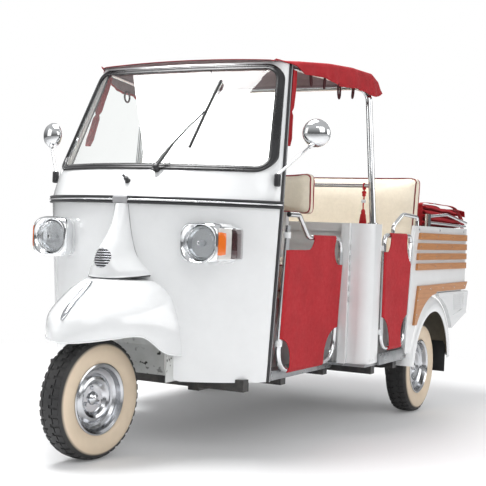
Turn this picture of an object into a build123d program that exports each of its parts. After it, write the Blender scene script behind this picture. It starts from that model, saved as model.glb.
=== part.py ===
from build123d import *
import math
import os

os.makedirs("parts", exist_ok=True)

# Open-sided three-wheeled passenger rickshaw, in millimetres, +Z up, nose towards -Y.
# The origin is on the ground under the middle of the vehicle. Lengthwise places are
# stations measured aft of the front axle, and aft() turns a station into a Y value.

# ---------------------------------------------------------------- driving dimensions
FRONT_AXLE_Y = -1167.5  # front axle, from the middle of the vehicle
WHEELBASE = 2000.0
REAR_TRACK = 1185.0

# wheels: cross-ply tyres on three-nut pressed rims
TYRE_RADIUS = 238.0
TYRE_HALF_WIDTH = 60.0
TREAD_DROP = 4.0  # crown of the tread above its shoulders
BEAD_RADIUS = 131.0
BEAD_HALF_WIDTH = 46.0
FLANGE_RADIUS = 139.5
FLANGE_WIDTH = 5.0
NUT_CIRCLE_RADIUS = 40.0
NUT_RADIUS = 9.0
NUT_COUNT = 3
NUT_HEIGHT = 11.0
SPINDLE_RADIUS = 17.0
SPINDLE_REACH = 78.0  # spindle tip beyond the drum's back face
DRUM_RADIUS = 92.0
DRUM_BACK = 88.0  # drum's back face, inboard of the wheel's middle plane

# steering
STEER_RAKE = 24.0  # degrees that the column leans back
STEER_TRAIL = 30.0  # where the column's line meets the ground, ahead of the tyre
STEER_REST = -6.4  # degrees that the wheel is turned as parked
COLUMN_RADIUS = 20.0
FORK_RADIUS = 18.0
FORK_OFFSET = 106.0  # fork leg's centre, beside the wheel's middle plane
BAR_RADIUS = 12.0
BAR_HALF_WIDTH = 265.0
BAR_HEIGHT = 985.0

# fits
FIT = 0.3  # gap between pieces that seat on each other
BEARING_GAP = 0.5

# cab shell
CAB_WALL = 15.0
PILLAR_WALL = 20.0
CAB_BOTTOM = 305.0
BELT_BOTTOM = 1003.0
BELT_TOP = 1033.0
SCUTTLE_TOP = 1145.0  # ledge under the windscreen seal
HEADER_TOP = 1625.0
BELT_PROUD = 9.0
EDGE_TRIM_DEPTH = 14.0
EDGE_TRIM_PROUD = 6.0

# windscreen, as seen from the front
SCREEN_BOTTOM = SCUTTLE_TOP + 2.0
SCREEN_BOTTOM_HALF = 513.0
SCREEN_TOP_HALF = 455.0
SCREEN_TOP = HEADER_TOP - 33.0
SCREEN_CORNER = 56.0
SEAL_WIDTH = 24.0
SEAL_PROUD = 5.0
GLASS_INSET = 7.0
GLASS_THICKNESS = 5.0

# floor, frame and passenger body
FLOOR_TOP = 330.0
FLOOR_THICKNESS = 12.0
RAIL_HEIGHT = 62.0
RAIL_WIDTH = 50.0
RAIL_OFFSET = 250.0
BODY_HALF_WIDTH = 712.0
BODY_WALL = 20.0
BODY_REAR = 2530.0  # station of the rear wall's outer face
DECK_TOP = 970.0
TRUNK_FLOOR = 627.0
SHEET = 15.0  # boxed sheet-metal inner walls

# partition behind the driver and its corner columns
PARTITION_FRONT = 1130.0
PARTITION_THICKNESS = 20.0
PARTITION_TOP = 965.0
COLUMN_OUTER = BODY_HALF_WIDTH - 15.0
COLUMN_INNER = COLUMN_OUTER - 97.0
COLUMN_FRONT = 1105.0
COLUMN_REAR = 1238.0
COLUMN_CORNER = 55.0
COLUMN_SHEET = 4.0

# roof
HOOP_STATION = 1213.0
HOOP_RADIUS = 15.0
HOOP_FOOT_HALF = COLUMN_OUTER - 37.0
HOOP_TOP_HALF = HOOP_FOOT_HALF - 48.0
HOOP_TOP = HEADER_TOP - 28.0  # centre of the cross tube
RAIL_TUBE_RADIUS = 9.0
CLOTH = 6.0

# doors: bent tube with a laced cloth panel
DOOR_TUBE = 11.0
DOOR_CLOTH = 4.0
DOOR_LEAN = math.atan((578.0 - 548.0) / (985.0 - 345.0))  # cab sides lean in below
FRONT_DOOR_X = 548.0
FRONT_DOOR_FOOT = 345.0
FRONT_HINGE_STATION = 497.0
REAR_DOOR_X = BODY_HALF_WIDTH - 12.0
REAR_HINGE_STATION = 1262.0
HINGE_HEIGHTS_FRONT = (900.0, 460.0)
HINGE_HEIGHTS_REAR = (856.0, 470.0)
HINGE_STRAP = 24.0  # height of a hinge strap
HINGE_WALL = 4.0
HINGE_REACH = 5.0  # how far a strap passes the tube's centre
HINGE_REACH_UP = 600.0

# lamps and mirrors
LAMP_OFFSET = 361.0
LAMP_HEIGHT = 857.0
LAMP_RADIUS = 70.0
LAMP_FACE = 150.0  # station of the bezel's front
MIRROR_RADIUS = 56.0
MIRROR_CENTRE = (660.0, 545.0, 1310.0)  # x, station, height

FRONT_SEAT_BACK = 905.0
REAR_SEAT_FRONT = 1410.0

LEFT, RIGHT = 1, -1
SIDES = ((LEFT, "left"), (RIGHT, "right"))


def aft(station):
    """Y of a station measured aft of the front axle."""
    return FRONT_AXLE_Y + station


def save(part, label):
    """Label a finished piece and write its STEP file."""
    part.part.label = label
    export_step(part.part, f"parts/{label}.step")


def tube(points, radius, bends):
    """Round bar along straight runs joined by bends."""
    with BuildLine(mode=Mode.PRIVATE) as path:
        FilletPolyline(*points, radius=bends)
    with BuildSketch(Plane(origin=path.line @ 0, z_dir=path.line % 0)) as end:
        Circle(radius)
    sweep(end.sketch, path=path.line)


def rod(start, end, radius):
    """Straight round bar between two points."""
    span = Vector(*end) - Vector(*start)
    with BuildSketch(Plane(origin=start, z_dir=span)) as end_face:
        Circle(radius)
    extrude(end_face.sketch, amount=span.length)


def block(x, y, z):
    """Box between two limits on each axis."""
    with Locations(((x[0] + x[1]) / 2, (y[0] + y[1]) / 2, (z[0] + z[1]) / 2)):
        Box(x[1] - x[0], y[1] - y[0], z[1] - z[0])


# ---------------------------------------------------------------- cab sections
# Plan sections of the cab: height, half width, station of the nose line on the centre,
# station of the door edge, corner radius.
LOWER_CAB = (
    (CAB_BOTTOM, 526.0, 165.0, 457.0, 236.0),
    (BELT_BOTTOM, 565.0, 150.0, 443.0, 240.0),
)
UPPER_CAB = (
    (BELT_TOP, 565.0, 150.0, 443.0, 240.0),
    (SCUTTLE_TOP, 546.0, 235.0, 487.0, 52.0),
    (HEADER_TOP, 470.0, 594.0, 672.0, 40.0),
)


def cab_section(height, sections=LOWER_CAB):
    """Section between the two given ones nearest to a height."""
    for low, high in zip(sections, sections[1:]):
        if height <= high[0]:
            break
    share = (height - low[0]) / (high[0] - low[0])
    return (height, *(a + share * (b - a) for a, b in zip(low[1:], high[1:])))


def cab_plan(section, inset=0.0, tail=0.0):
    """Plan sketch: a wide front arc, two corner arcs and straight sides of length tail."""
    height, half_width, nose, edge, corner = section
    half_width -= inset
    nose += inset
    corner -= inset
    across = half_width - corner
    along = nose - edge
    front_radius = (across**2 + along**2 - corner**2) / (-2 * (along + corner))
    centre_gap = front_radius - corner
    lean = math.asin(across / centre_gap)
    join = (across + corner * math.sin(lean), edge - corner * math.cos(lean))
    middle = (lean + math.pi / 2) / 2
    swell = (across + corner * math.sin(middle), edge - corner * math.cos(middle))
    with BuildSketch(Plane.XY.offset(height)) as plan:
        with BuildLine():
            ThreePointArc(
                (-join[0], aft(join[1])), (0, aft(nose)), (join[0], aft(join[1]))
            )
            for side in (LEFT, RIGHT):
                ThreePointArc(
                    (side * join[0], aft(join[1])),
                    (side * swell[0], aft(swell[1])),
                    (side * half_width, aft(edge)),
                )
                if tail:
                    Line((side * half_width, aft(edge)), (side * half_width, aft(edge + tail)))
            Line((-half_width, aft(edge + tail)), (half_width, aft(edge + tail)))
        make_face()
    return plan.sketch


def cab_loft(sections, inset=0.0, tail=0.0, mode=Mode.ADD):
    """Solid through a run of cab sections."""
    plans = [cab_plan(section, inset, tail).face() for section in sections]
    loft(plans, ruled=True, mode=mode)


def screen_outline(inset=0.0):
    """Windscreen aperture seen from the front, in a sketch that stands behind the screen."""
    with BuildSketch(Plane.XZ.offset(-aft(800))) as outline:
        with BuildLine():
            Polyline(
                (-SCREEN_BOTTOM_HALF, SCREEN_BOTTOM),
                (SCREEN_BOTTOM_HALF, SCREEN_BOTTOM),
                (SCREEN_TOP_HALF, SCREEN_TOP),
                (-SCREEN_TOP_HALF, SCREEN_TOP),
                close=True,
            )
        make_face()
        fillet(outline.vertices(), SCREEN_CORNER)
        if inset:
            offset(amount=-inset, mode=Mode.REPLACE)
    return outline.sketch


SCREEN_REACH = 800.0

# ---------------------------------------------------------------- wheel well
WELL_HALF_WIDTH = 236.0
WELL_SHEET = 5.0
# side outline of the well: station, height
WELL_OUTLINE = (
    (158.0, 560.0),
    (262.0, 560.0),
    (322.0, 430.0),
    (336.0, CAB_BOTTOM),
    (158.0, CAB_BOTTOM),
)


def steer_point(height):
    """Point on the steering column's line at a height."""
    lean = math.tan(math.radians(STEER_RAKE))
    return (0.0, aft(height * lean - STEER_TRAIL), height)


STEER_DIRECTION = (
    0.0,
    math.sin(math.radians(STEER_RAKE)),
    math.cos(math.radians(STEER_RAKE)),
)


def hinge_strap(side, x, station, height):
    """Strap that reaches from the body to the door's hinge tube."""
    near, middle = x
    around = DOOR_TUBE + HINGE_WALL
    block(
        sorted((side * (near - 2 * HINGE_WALL), side * (middle + HINGE_REACH))),
        (aft(station - around), aft(station + around)),
        (height - HINGE_STRAP / 2, height + HINGE_STRAP / 2),
    )


def hinge_bore(side, x, foot, lean, station):
    """Running bore for the door's hinge tube, through every strap on its line."""
    along = (side * math.sin(lean), 0, math.cos(lean))
    start = (side * x, aft(station), foot)
    with BuildSketch(Plane(origin=start, z_dir=along)) as bore:
        Circle(DOOR_TUBE + BEARING_GAP)
    extrude(bore.sketch, amount=HINGE_REACH_UP, mode=Mode.SUBTRACT)


# ---------------------------------------------------------------- cab front
with BuildPart() as cab_front:
    cab_loft(LOWER_CAB)
    cab_loft(LOWER_CAB, CAB_WALL, CAB_WALL, Mode.SUBTRACT)
    with BuildSketch(Plane.XZ.offset(-aft(300))):
        with Locations((0, (CAB_BOTTOM + WELL_OUTLINE[0][1]) / 2)):
            Rectangle(2 * WELL_HALF_WIDTH, WELL_OUTLINE[0][1] - CAB_BOTTOM + 0.02)
        with Locations((LAMP_OFFSET, LAMP_HEIGHT), (-LAMP_OFFSET, LAMP_HEIGHT)):
            Circle(LAMP_RADIUS - 6)
    extrude(amount=300, mode=Mode.SUBTRACT)
    for side in (LEFT, RIGHT):
        for height in HINGE_HEIGHTS_FRONT:
            middle = FRONT_DOOR_X + (height - FRONT_DOOR_FOOT) * math.tan(DOOR_LEAN)
            wall = cab_section(height)[1] - CAB_WALL
            edge = cab_section(height)[3]
            hinge_strap(side, (wall, middle), FRONT_HINGE_STATION, height)
            for outer, end in ((wall - 1, FRONT_HINGE_STATION), (wall + HINGE_WALL, edge - 1)):
                block(
                    sorted((side * (wall - 2 * HINGE_WALL), side * outer)),
                    (aft(edge - 20), aft(end)),
                    (height - HINGE_STRAP / 2, height + HINGE_STRAP / 2),
                )
        hinge_bore(side, FRONT_DOOR_X, FRONT_DOOR_FOOT, DOOR_LEAN, FRONT_HINGE_STATION)
save(cab_front, "cab_front")

with BuildPart() as windscreen_frame:
    cab_loft(UPPER_CAB)
    cab_loft(UPPER_CAB, PILLAR_WALL, PILLAR_WALL, Mode.SUBTRACT)
    extrude(screen_outline(), amount=SCREEN_REACH, mode=Mode.SUBTRACT)
save(windscreen_frame, "windscreen_frame")

with BuildPart() as windscreen_seal:
    cab_loft(UPPER_CAB, -SEAL_PROUD)
    cab_loft(UPPER_CAB, PILLAR_WALL, PILLAR_WALL, Mode.SUBTRACT)
    extrude(screen_outline(), amount=SCREEN_REACH, mode=Mode.INTERSECT)
    extrude(screen_outline(SEAL_WIDTH), amount=SCREEN_REACH, mode=Mode.SUBTRACT)
save(windscreen_seal, "windscreen_seal")

with BuildPart() as windscreen_glass:
    cab_loft(UPPER_CAB, GLASS_INSET)
    cab_loft(UPPER_CAB, GLASS_INSET + GLASS_THICKNESS, PILLAR_WALL, Mode.SUBTRACT)
    extrude(screen_outline(SEAL_WIDTH), amount=SCREEN_REACH, mode=Mode.INTERSECT)
save(windscreen_glass, "windscreen_glass")

with BuildPart() as body_mouldings:
    belt = LOWER_CAB[1]
    extrude(cab_plan(belt, -BELT_PROUD), amount=BELT_TOP - BELT_BOTTOM)
    extrude(
        cab_plan(belt, CAB_WALL, CAB_WALL),
        amount=BELT_TOP - BELT_BOTTOM,
        mode=Mode.SUBTRACT,
    )
    for side in (LEFT, RIGHT):
        for section in (*LOWER_CAB, *UPPER_CAB):
            height, half_width, _, edge, _ = section
            with BuildSketch(Plane.XY.offset(height)):
                with Locations(
                    (
                        side * (half_width + (EDGE_TRIM_PROUD - CAB_WALL) / 2),
                        aft(edge + EDGE_TRIM_DEPTH / 2),
                    )
                ):
                    Rectangle(CAB_WALL + EDGE_TRIM_PROUD, EDGE_TRIM_DEPTH)
        loft(ruled=True)
save(body_mouldings, "body_mouldings")

# ---------------------------------------------------------------- nose and mudguard
# Nose sections from the top down: height, half width, station of the front.
NOSE_SECTIONS = (
    (1001.0, 50.0, 131.0),
    (900.0, 60.0, 102.0),
    (835.0, 79.0, 68.0),
    (775.0, 106.0, 28.0),
    (712.0, 141.0, -32.0),
)
NOSE_BACK = 178.0
GRILLE_HEIGHT = 784.0
GRILLE_RADIUS = 40.0
GRILLE_BARS = 8
GRILLE_RIM = 5.0
GRILLE_SLOT = 4.5


def nose_loft(mode=Mode.ADD):
    """Solid of the nose, running back into the cab: flat sides that close on a round front."""
    plans = []
    for height, half_width, front in NOSE_SECTIONS:
        depth = NOSE_BACK - front
        knee = (0.66 * half_width, front + 0.2 * depth)
        with BuildSketch(Plane.XY.offset(height)) as plan:
            with BuildLine():
                ThreePointArc(
                    (-knee[0], aft(knee[1])), (0, aft(front)), (knee[0], aft(knee[1]))
                )
                Polyline(
                    (knee[0], aft(knee[1])),
                    (half_width, aft(NOSE_BACK)),
                    (-half_width, aft(NOSE_BACK)),
                    (-knee[0], aft(knee[1])),
                )
            make_face()
        plans.append(plan.sketch.face())
    loft(plans, mode=mode)


with BuildPart() as nose_cowl:
    nose_loft()
    cab_loft(LOWER_CAB, -FIT, mode=Mode.SUBTRACT)
    with BuildSketch(Plane.XZ.offset(-aft(75))):
        with Locations((0, GRILLE_HEIGHT)):
            Circle(GRILLE_RADIUS)
    extrude(amount=120, mode=Mode.SUBTRACT)
save(nose_cowl, "nose_cowl")

with BuildPart() as horn_grille:
    with BuildSketch(Plane.XZ.offset(-aft(75))) as bars:
        with Locations((0, GRILLE_HEIGHT)):
            Circle(GRILLE_RADIUS - FIT)
        for slot in range(1, GRILLE_BARS):
            rise = (2 * slot / GRILLE_BARS - 1) * GRILLE_RADIUS
            chord = 2 * math.sqrt((GRILLE_RADIUS - GRILLE_RIM) ** 2 - rise**2)
            with Locations((0, GRILLE_HEIGHT + rise)):
                Rectangle(chord, GRILLE_SLOT, mode=Mode.SUBTRACT)
    extrude(amount=60)
    nose_loft(Mode.INTERSECT)
save(horn_grille, "horn_grille")

# Mudguard sections: height, half width, station of the front, station of the shoulder.
GUARD_SECTIONS = (
    (405.0, 262.0, -290.0, -35.0),
    (480.0, 257.0, -281.0, -30.0),
    (560.0, 245.0, -205.0, 10.0),
    (630.0, 224.0, -118.0, 50.0),
    (682.0, 186.0, -46.0, 90.0),
    (706.0, 141.0, -4.0, 115.0),
)
GUARD_SHEET = 6.0
GUARD_BACK = 300.0
GUARD_LIP = 477.0  # lower edge over the tyre
GUARD_TAIL = 412.0  # lower edge where it meets the cab


def guard_loft(inset=0.0, mode=Mode.ADD):
    """Bell of the mudguard, running back into the cab."""
    top = GUARD_SECTIONS[-1][0]
    plans = []
    for height, half_width, front, shoulder in GUARD_SECTIONS:
        level = height - inset if height == top else height
        with BuildSketch(Plane.XY.offset(level)) as plan:
            width = half_width - inset
            with BuildLine():
                ThreePointArc(
                    (-width, aft(shoulder)), (0, aft(front + inset)), (width, aft(shoulder))
                )
                Polyline(
                    (width, aft(shoulder)),
                    (width, aft(GUARD_BACK + inset)),
                    (-width, aft(GUARD_BACK + inset)),
                    (-width, aft(shoulder)),
                )
            make_face()
        plans.append(plan.sketch.face())
    loft(plans, mode=mode)


with BuildPart() as front_mudguard:
    guard_loft()
    guard_loft(GUARD_SHEET, Mode.SUBTRACT)
    cab_loft(LOWER_CAB, -FIT, mode=Mode.SUBTRACT)
    with BuildSketch(Plane.YZ.offset(-300)):
        with BuildLine():
            Polyline(
                (aft(115), GUARD_TAIL),
                (aft(320), GUARD_TAIL),
                (aft(320), GUARD_TAIL - 30),
                (aft(-330), GUARD_TAIL - 30),
                (aft(-330), GUARD_LIP),
                (aft(30), GUARD_LIP + 8),
            )
            ThreePointArc((aft(30), GUARD_LIP + 8), (aft(72), GUARD_LIP - 22), (aft(115), GUARD_TAIL))
        make_face()
    extrude(amount=600, mode=Mode.SUBTRACT)
save(front_mudguard, "front_mudguard")

with BuildPart() as mudguard_crest:
    with BuildSketch(Plane.YZ.offset(-11)):
        with BuildLine():
            Polyline(
                (aft(-34), 672),
                (aft(-34), 690),
                (aft(-130), 652),
                (aft(-200), 575),
                (aft(-185), 560),
                close=True,
            )
        make_face()
    extrude(amount=22)
    guard_loft(-FIT, mode=Mode.SUBTRACT)
save(mudguard_crest, "mudguard_crest")

with BuildPart() as wheel_well:
    with BuildSketch(Plane.YZ.offset(-WELL_HALF_WIDTH + FIT)):
        with BuildLine():
            Polyline(*((aft(s), h - FIT) for s, h in WELL_OUTLINE), close=True)
        make_face()
    extrude(amount=2 * (WELL_HALF_WIDTH - FIT))
    with BuildSketch(Plane.YZ.offset(-WELL_HALF_WIDTH + WELL_SHEET)):
        with BuildLine():
            Polyline(
                *(
                    (aft(s + (-40 if s < 200 else -WELL_SHEET)), h - (WELL_SHEET if h > 400 else 20))
                    for s, h in WELL_OUTLINE
                ),
                close=True,
            )
        make_face()
    extrude(amount=2 * (WELL_HALF_WIDTH - WELL_SHEET), mode=Mode.SUBTRACT)
    rod(steer_point(545), steer_point(660), COLUMN_RADIUS + 12)
    rod_bore = steer_point(500)
    with BuildSketch(Plane(origin=rod_bore, z_dir=STEER_DIRECTION)):
        Circle(COLUMN_RADIUS + BEARING_GAP)
    extrude(amount=220, mode=Mode.SUBTRACT)
save(wheel_well, "wheel_well")

# ---------------------------------------------------------------- lamps, mirrors, wiper
BEZEL_HALF_WIDTH = 92.0
BEZEL_HALF_HEIGHT = 84.0
INDICATOR_END = 488.0
INDICATOR_HALF_HEIGHT = 60.0

with BuildPart() as headlamps:
    for side in (LEFT, RIGHT):
        with BuildSketch(Plane.XZ.offset(-aft(LAMP_FACE + 70))) as bezel:
            with Locations((side * LAMP_OFFSET, LAMP_HEIGHT)):
                RectangleRounded(2 * BEZEL_HALF_WIDTH, 2 * BEZEL_HALF_HEIGHT, 52)
        extrude(amount=70)
        with BuildSketch(Plane.XY.offset(LAMP_HEIGHT - INDICATOR_HALF_HEIGHT)):
            with BuildLine():
                near, far = (side * 440, aft(160)), (side * INDICATOR_END, aft(275))
                ThreePointArc(near, (side * 470, aft(200)), far)
                Polyline(far, (side * 470, aft(340)), (side * 400, aft(340)), (side * 400, near[1]), near)
            make_face()
        extrude(amount=2 * INDICATOR_HALF_HEIGHT)
    cab_loft(LOWER_CAB, -FIT, mode=Mode.SUBTRACT)
    for side in (LEFT, RIGHT):
        with Locations(
            Location((side * LAMP_OFFSET, aft(LAMP_FACE + 52), LAMP_HEIGHT), (90, 0, 0))
        ):
            Cylinder(LAMP_RADIUS - 6 - FIT, 76)
save(headlamps, "headlamps")

with BuildPart() as mirrors:
    for side in (LEFT, RIGHT):
        x, station, height = MIRROR_CENTRE
        centre = Vector(side * x, aft(station), height)
        facing = Vector(side * math.sin(math.radians(20)), -math.cos(math.radians(20)), 0)
        with BuildSketch(Plane(origin=centre, x_dir=facing, z_dir=(0, 0, 1))):
            with BuildLine():
                Line((-8, 0), (-8, MIRROR_RADIUS))
                ThreePointArc((-8, MIRROR_RADIUS), (14, MIRROR_RADIUS * 0.72), (24, 0))
                Line((24, 0), (-8, 0))
            make_face()
        revolve(axis=Axis(centre, facing))
        foot = (side * 570, aft(486), 1128)
        tube(
            (
                (side * 640, aft(544), 1300),
                (side * 616, aft(500), 1190),
                foot,
            ),
            4.5,
            30,
        )
        block(sorted((side * 560.3, side * 577)), (aft(470), aft(502)), (1098, 1140))
    cab_loft(UPPER_CAB, -FIT, mode=Mode.SUBTRACT)
save(mirrors, "mirrors")


def screen_station(x, height):
    """Station of the windscreen's outer surface at a place seen from the front."""
    _, half_width, nose, edge, corner = cab_section(height, UPPER_CAB)
    across, along = half_width - corner, nose - edge
    radius = (across**2 + along**2 - corner**2) / (-2 * (along + corner))
    return nose + radius - math.sqrt(radius**2 - x**2)


def before_screen(x, height, gap):
    """Point in front of the windscreen."""
    return (x, aft(screen_station(x, height) - gap), height)


WIPER_PIVOT = (30.0, 1128.0)
WIPER_JOINT = (200.0, 1395.0)
BLADE_ENDS = ((168.0, 1245.0), (284.0, 1535.0))
SPINDLE_LENGTH = 26.0
ARM_RADIUS = 4.0


def scuttle_normal(gap):
    """Wiper spindle point at a distance from the scuttle, square to it."""
    (low, _, nose_low, _, _), (high, _, nose_high, _, _) = UPPER_CAB[:2]
    slope = math.atan2(nose_high - nose_low, high - low)
    x, y, z = before_screen(*WIPER_PIVOT, 0)
    return (x, y - gap * math.cos(slope), z + gap * math.sin(slope))


with BuildPart() as wiper:
    rod(scuttle_normal(FIT), scuttle_normal(SPINDLE_LENGTH), 8)
    tube(
        (
            scuttle_normal(SPINDLE_LENGTH - ARM_RADIUS),
            before_screen(104.0, 1232.0, 30),
            before_screen(*WIPER_JOINT, 16),
        ),
        ARM_RADIUS,
        40,
    )
    rod(before_screen(*WIPER_JOINT, 22), before_screen(*WIPER_JOINT, 4), 5)
    for end in BLADE_ENDS:
        rod(before_screen(*WIPER_JOINT, 7), before_screen(*end, 4), 3)
save(wiper, "wiper")

# ---------------------------------------------------------------- cab inside
DASH_HEIGHT = 932.0
DASH_SHEET = 14.0
DASH_REAR = 262.0

with BuildPart() as dash_panel:
    with BuildSketch(Plane.XY.offset(DASH_HEIGHT)):
        add(cab_plan(cab_section(DASH_HEIGHT), CAB_WALL + FIT))
        with Locations((0, aft(DASH_REAR + 300))):
            Rectangle(1400, 600, mode=Mode.SUBTRACT)
    extrude(amount=DASH_SHEET)
save(dash_panel, "dash_panel")

SILL_WIDTH = 16.0

with BuildPart() as floor_pan:
    with BuildSketch(Plane.XY.offset(FLOOR_TOP - FLOOR_THICKNESS)):
        add(cab_plan(cab_section(FLOOR_TOP - FLOOR_THICKNESS), CAB_WALL + FIT, 645))
        with Locations((0, aft(WELL_OUTLINE[3][0] / 2))):
            Rectangle(2 * WELL_HALF_WIDTH + 2 * FIT, WELL_OUTLINE[3][0] + 2 * FIT, mode=Mode.SUBTRACT)
        with Locations((0, aft(1400))):
            Rectangle(2 * (BODY_HALF_WIDTH - BODY_WALL), 600)
    extrude(amount=FLOOR_THICKNESS)
    for side in (LEFT, RIGHT):
        block(sorted((side * 508, side * 530)), (aft(473), aft(1100)), (306, 346))
        sill = BODY_HALF_WIDTH - BODY_WALL
        block(sorted((side * sill, side * (sill + SILL_WIDTH))), (aft(1240), aft(1566)), (318, 372))
save(floor_pan, "floor_pan")

# Frame cross members: station of the front face, half length.
CROSS_MEMBERS = (
    (345.0, 480.0),
    (640.0, 500.0),
    (1075.0, 500.0),
    (1260.0, 660.0),
    (1550.0, 660.0),
    (1780.0, 225.0),
    (2400.0, 480.0),
)
CROSS_WIDTH = 46.0
TOW_EYE_RADIUS = 11.0
TOW_EYE_THICKNESS = 12.0
TOW_EYE_STATION = 2470.0
RAIL_TOP = FLOOR_TOP - FLOOR_THICKNESS
RAIL_BOTTOM = RAIL_TOP - RAIL_HEIGHT

with BuildPart() as frame_rails:
    for side in (LEFT, RIGHT):
        middle = side * RAIL_OFFSET
        block(
            (middle - RAIL_WIDTH / 2, middle + RAIL_WIDTH / 2),
            (aft(345), aft(2446)),
            (RAIL_BOTTOM, RAIL_TOP),
        )
save(frame_rails, "frame_rails")

with BuildPart() as cross_members:
    for station, half in CROSS_MEMBERS:
        block((-half, half), (aft(station), aft(station + CROSS_WIDTH)), (RAIL_BOTTOM + 14, RAIL_TOP))
    for side in (LEFT, RIGHT):
        middle = side * RAIL_OFFSET
        reach = RAIL_WIDTH / 2 + FIT
        with Locations((middle, (aft(345) + aft(2446)) / 2, (RAIL_BOTTOM + RAIL_TOP) / 2)):
            Box(2 * reach, 2446 - 345 + 2, RAIL_HEIGHT + 2, mode=Mode.SUBTRACT)
    block(
        (-TOW_EYE_THICKNESS / 2, TOW_EYE_THICKNESS / 2),
        (aft(2440), aft(TOW_EYE_STATION + 26)),
        (RAIL_BOTTOM + 8, RAIL_TOP),
    )
    with Locations(
        Location((0, aft(TOW_EYE_STATION), (RAIL_BOTTOM + 8 + RAIL_TOP) / 2), (0, 90, 0))
    ):
        Hole(TOW_EYE_RADIUS, depth=TOW_EYE_THICKNESS)
save(cross_members, "cross_members")

SEAT_BASE_FRONT = 600.0
SEAT_BASE_TOP = 640.0
CUSHION_TOP = 790.0

with BuildPart() as seat_base:
    block((-420, 420), (aft(SEAT_BASE_FRONT), aft(FRONT_SEAT_BACK)), (FLOOR_TOP, SEAT_BASE_TOP))
    for side in (LEFT, RIGHT):
        middle = side * 350
        block(
            (middle - 20, middle + 20),
            (aft(FRONT_SEAT_BACK), aft(FRONT_SEAT_BACK + 22)),
            (FLOOR_TOP, 1150),
        )
        block(
            (middle - 20, middle + 20),
            (aft(FRONT_SEAT_BACK - 6), aft(FRONT_SEAT_BACK + 22)),
            (980, 1150),
        )
save(seat_base, "seat_base")


def pad(label, x, y, z, radius):
    """Upholstered block with soft edges, saved as one solid."""
    with BuildPart() as cushion:
        block(x, y, z)
        fillet(cushion.edges(), radius)
    save(cushion, label)


pad(
    "driver_cushion",
    (-480, 480),
    (aft(540), aft(FRONT_SEAT_BACK - 8)),
    (SEAT_BASE_TOP + FIT, CUSHION_TOP),
    30,
)
pad(
    "driver_backrest",
    (-530, 530),
    (aft(838), aft(FRONT_SEAT_BACK - 6 - FIT)),
    (975, 1190),
    24,
)

SLOT_COUNT = 6
SLOT_PITCH = 47.0
RIB_COUNT = 8
RIB_PITCH = 68.0

with BuildPart() as partition:
    block(
        (-COLUMN_INNER + FIT, COLUMN_INNER - FIT),
        (aft(PARTITION_FRONT), aft(PARTITION_FRONT + PARTITION_THICKNESS)),
        (FLOOR_TOP, PARTITION_TOP),
    )
    block(
        (-COLUMN_INNER + FIT, COLUMN_INNER - FIT),
        (aft(PARTITION_FRONT - 12), aft(PARTITION_FRONT + PARTITION_THICKNESS + 12)),
        (PARTITION_TOP - 40, PARTITION_TOP),
    )
    for side in (LEFT, RIGHT):
        middle = side * (COLUMN_INNER - 20)
        block(
            (middle - 19.5, middle + 19.5),
            (aft(PARTITION_FRONT - 45), aft(PARTITION_FRONT)),
            (FLOOR_TOP, PARTITION_TOP),
        )
    for rib in range(RIB_COUNT):
        height = PARTITION_TOP - 80 - rib * RIB_PITCH
        block(
            (-530, 530),
            (aft(PARTITION_FRONT - 3), aft(PARTITION_FRONT)),
            (height - 24, height + 24),
        )
    for slot in range(SLOT_COUNT):
        height = 855 - slot * SLOT_PITCH
        with Locations((0, aft(PARTITION_FRONT - 30), height)):
            Box(1400, 14, 26, mode=Mode.SUBTRACT)
save(partition, "partition")

with BuildPart() as corner_columns:
    for side in (LEFT, RIGHT):
        for grow, mode in ((0, Mode.ADD), (COLUMN_SHEET, Mode.SUBTRACT)):
            with BuildSketch(Plane.XY.offset(FLOOR_TOP - grow)) as plan:
                with BuildLine():
                    inner = side * (COLUMN_INNER + grow)
                    outer = side * (COLUMN_OUTER - grow)
                    bend = COLUMN_CORNER - grow
                    front = aft(COLUMN_FRONT + grow)
                    rear = aft(COLUMN_REAR - grow)
                    Polyline(
                        (outer, front + bend),
                        (outer, rear),
                        (inner, rear),
                        (inner, front),
                        (outer - side * bend, front),
                    )
                    ThreePointArc(
                        (outer - side * bend, front),
                        (outer - side * bend * (1 - math.sqrt(0.5)), front + bend * (1 - math.sqrt(0.5))),
                        (outer, front + bend),
                    )
                make_face()
            extrude(amount=PARTITION_TOP - FLOOR_TOP, mode=mode)
        for height in HINGE_HEIGHTS_REAR:
            block(
                sorted((side * (COLUMN_OUTER - 14), side * (REAR_DOOR_X + HINGE_REACH))),
                (aft(COLUMN_REAR), aft(REAR_HINGE_STATION + DOOR_TUBE + HINGE_WALL)),
                (height - HINGE_STRAP / 2, height + HINGE_STRAP / 2),
            )
        hinge_bore(side, REAR_DOOR_X, FRONT_DOOR_FOOT, 0, REAR_HINGE_STATION)
save(corner_columns, "corner_columns")

# ---------------------------------------------------------------- roof
FOOT_DISC = 5.0

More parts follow.
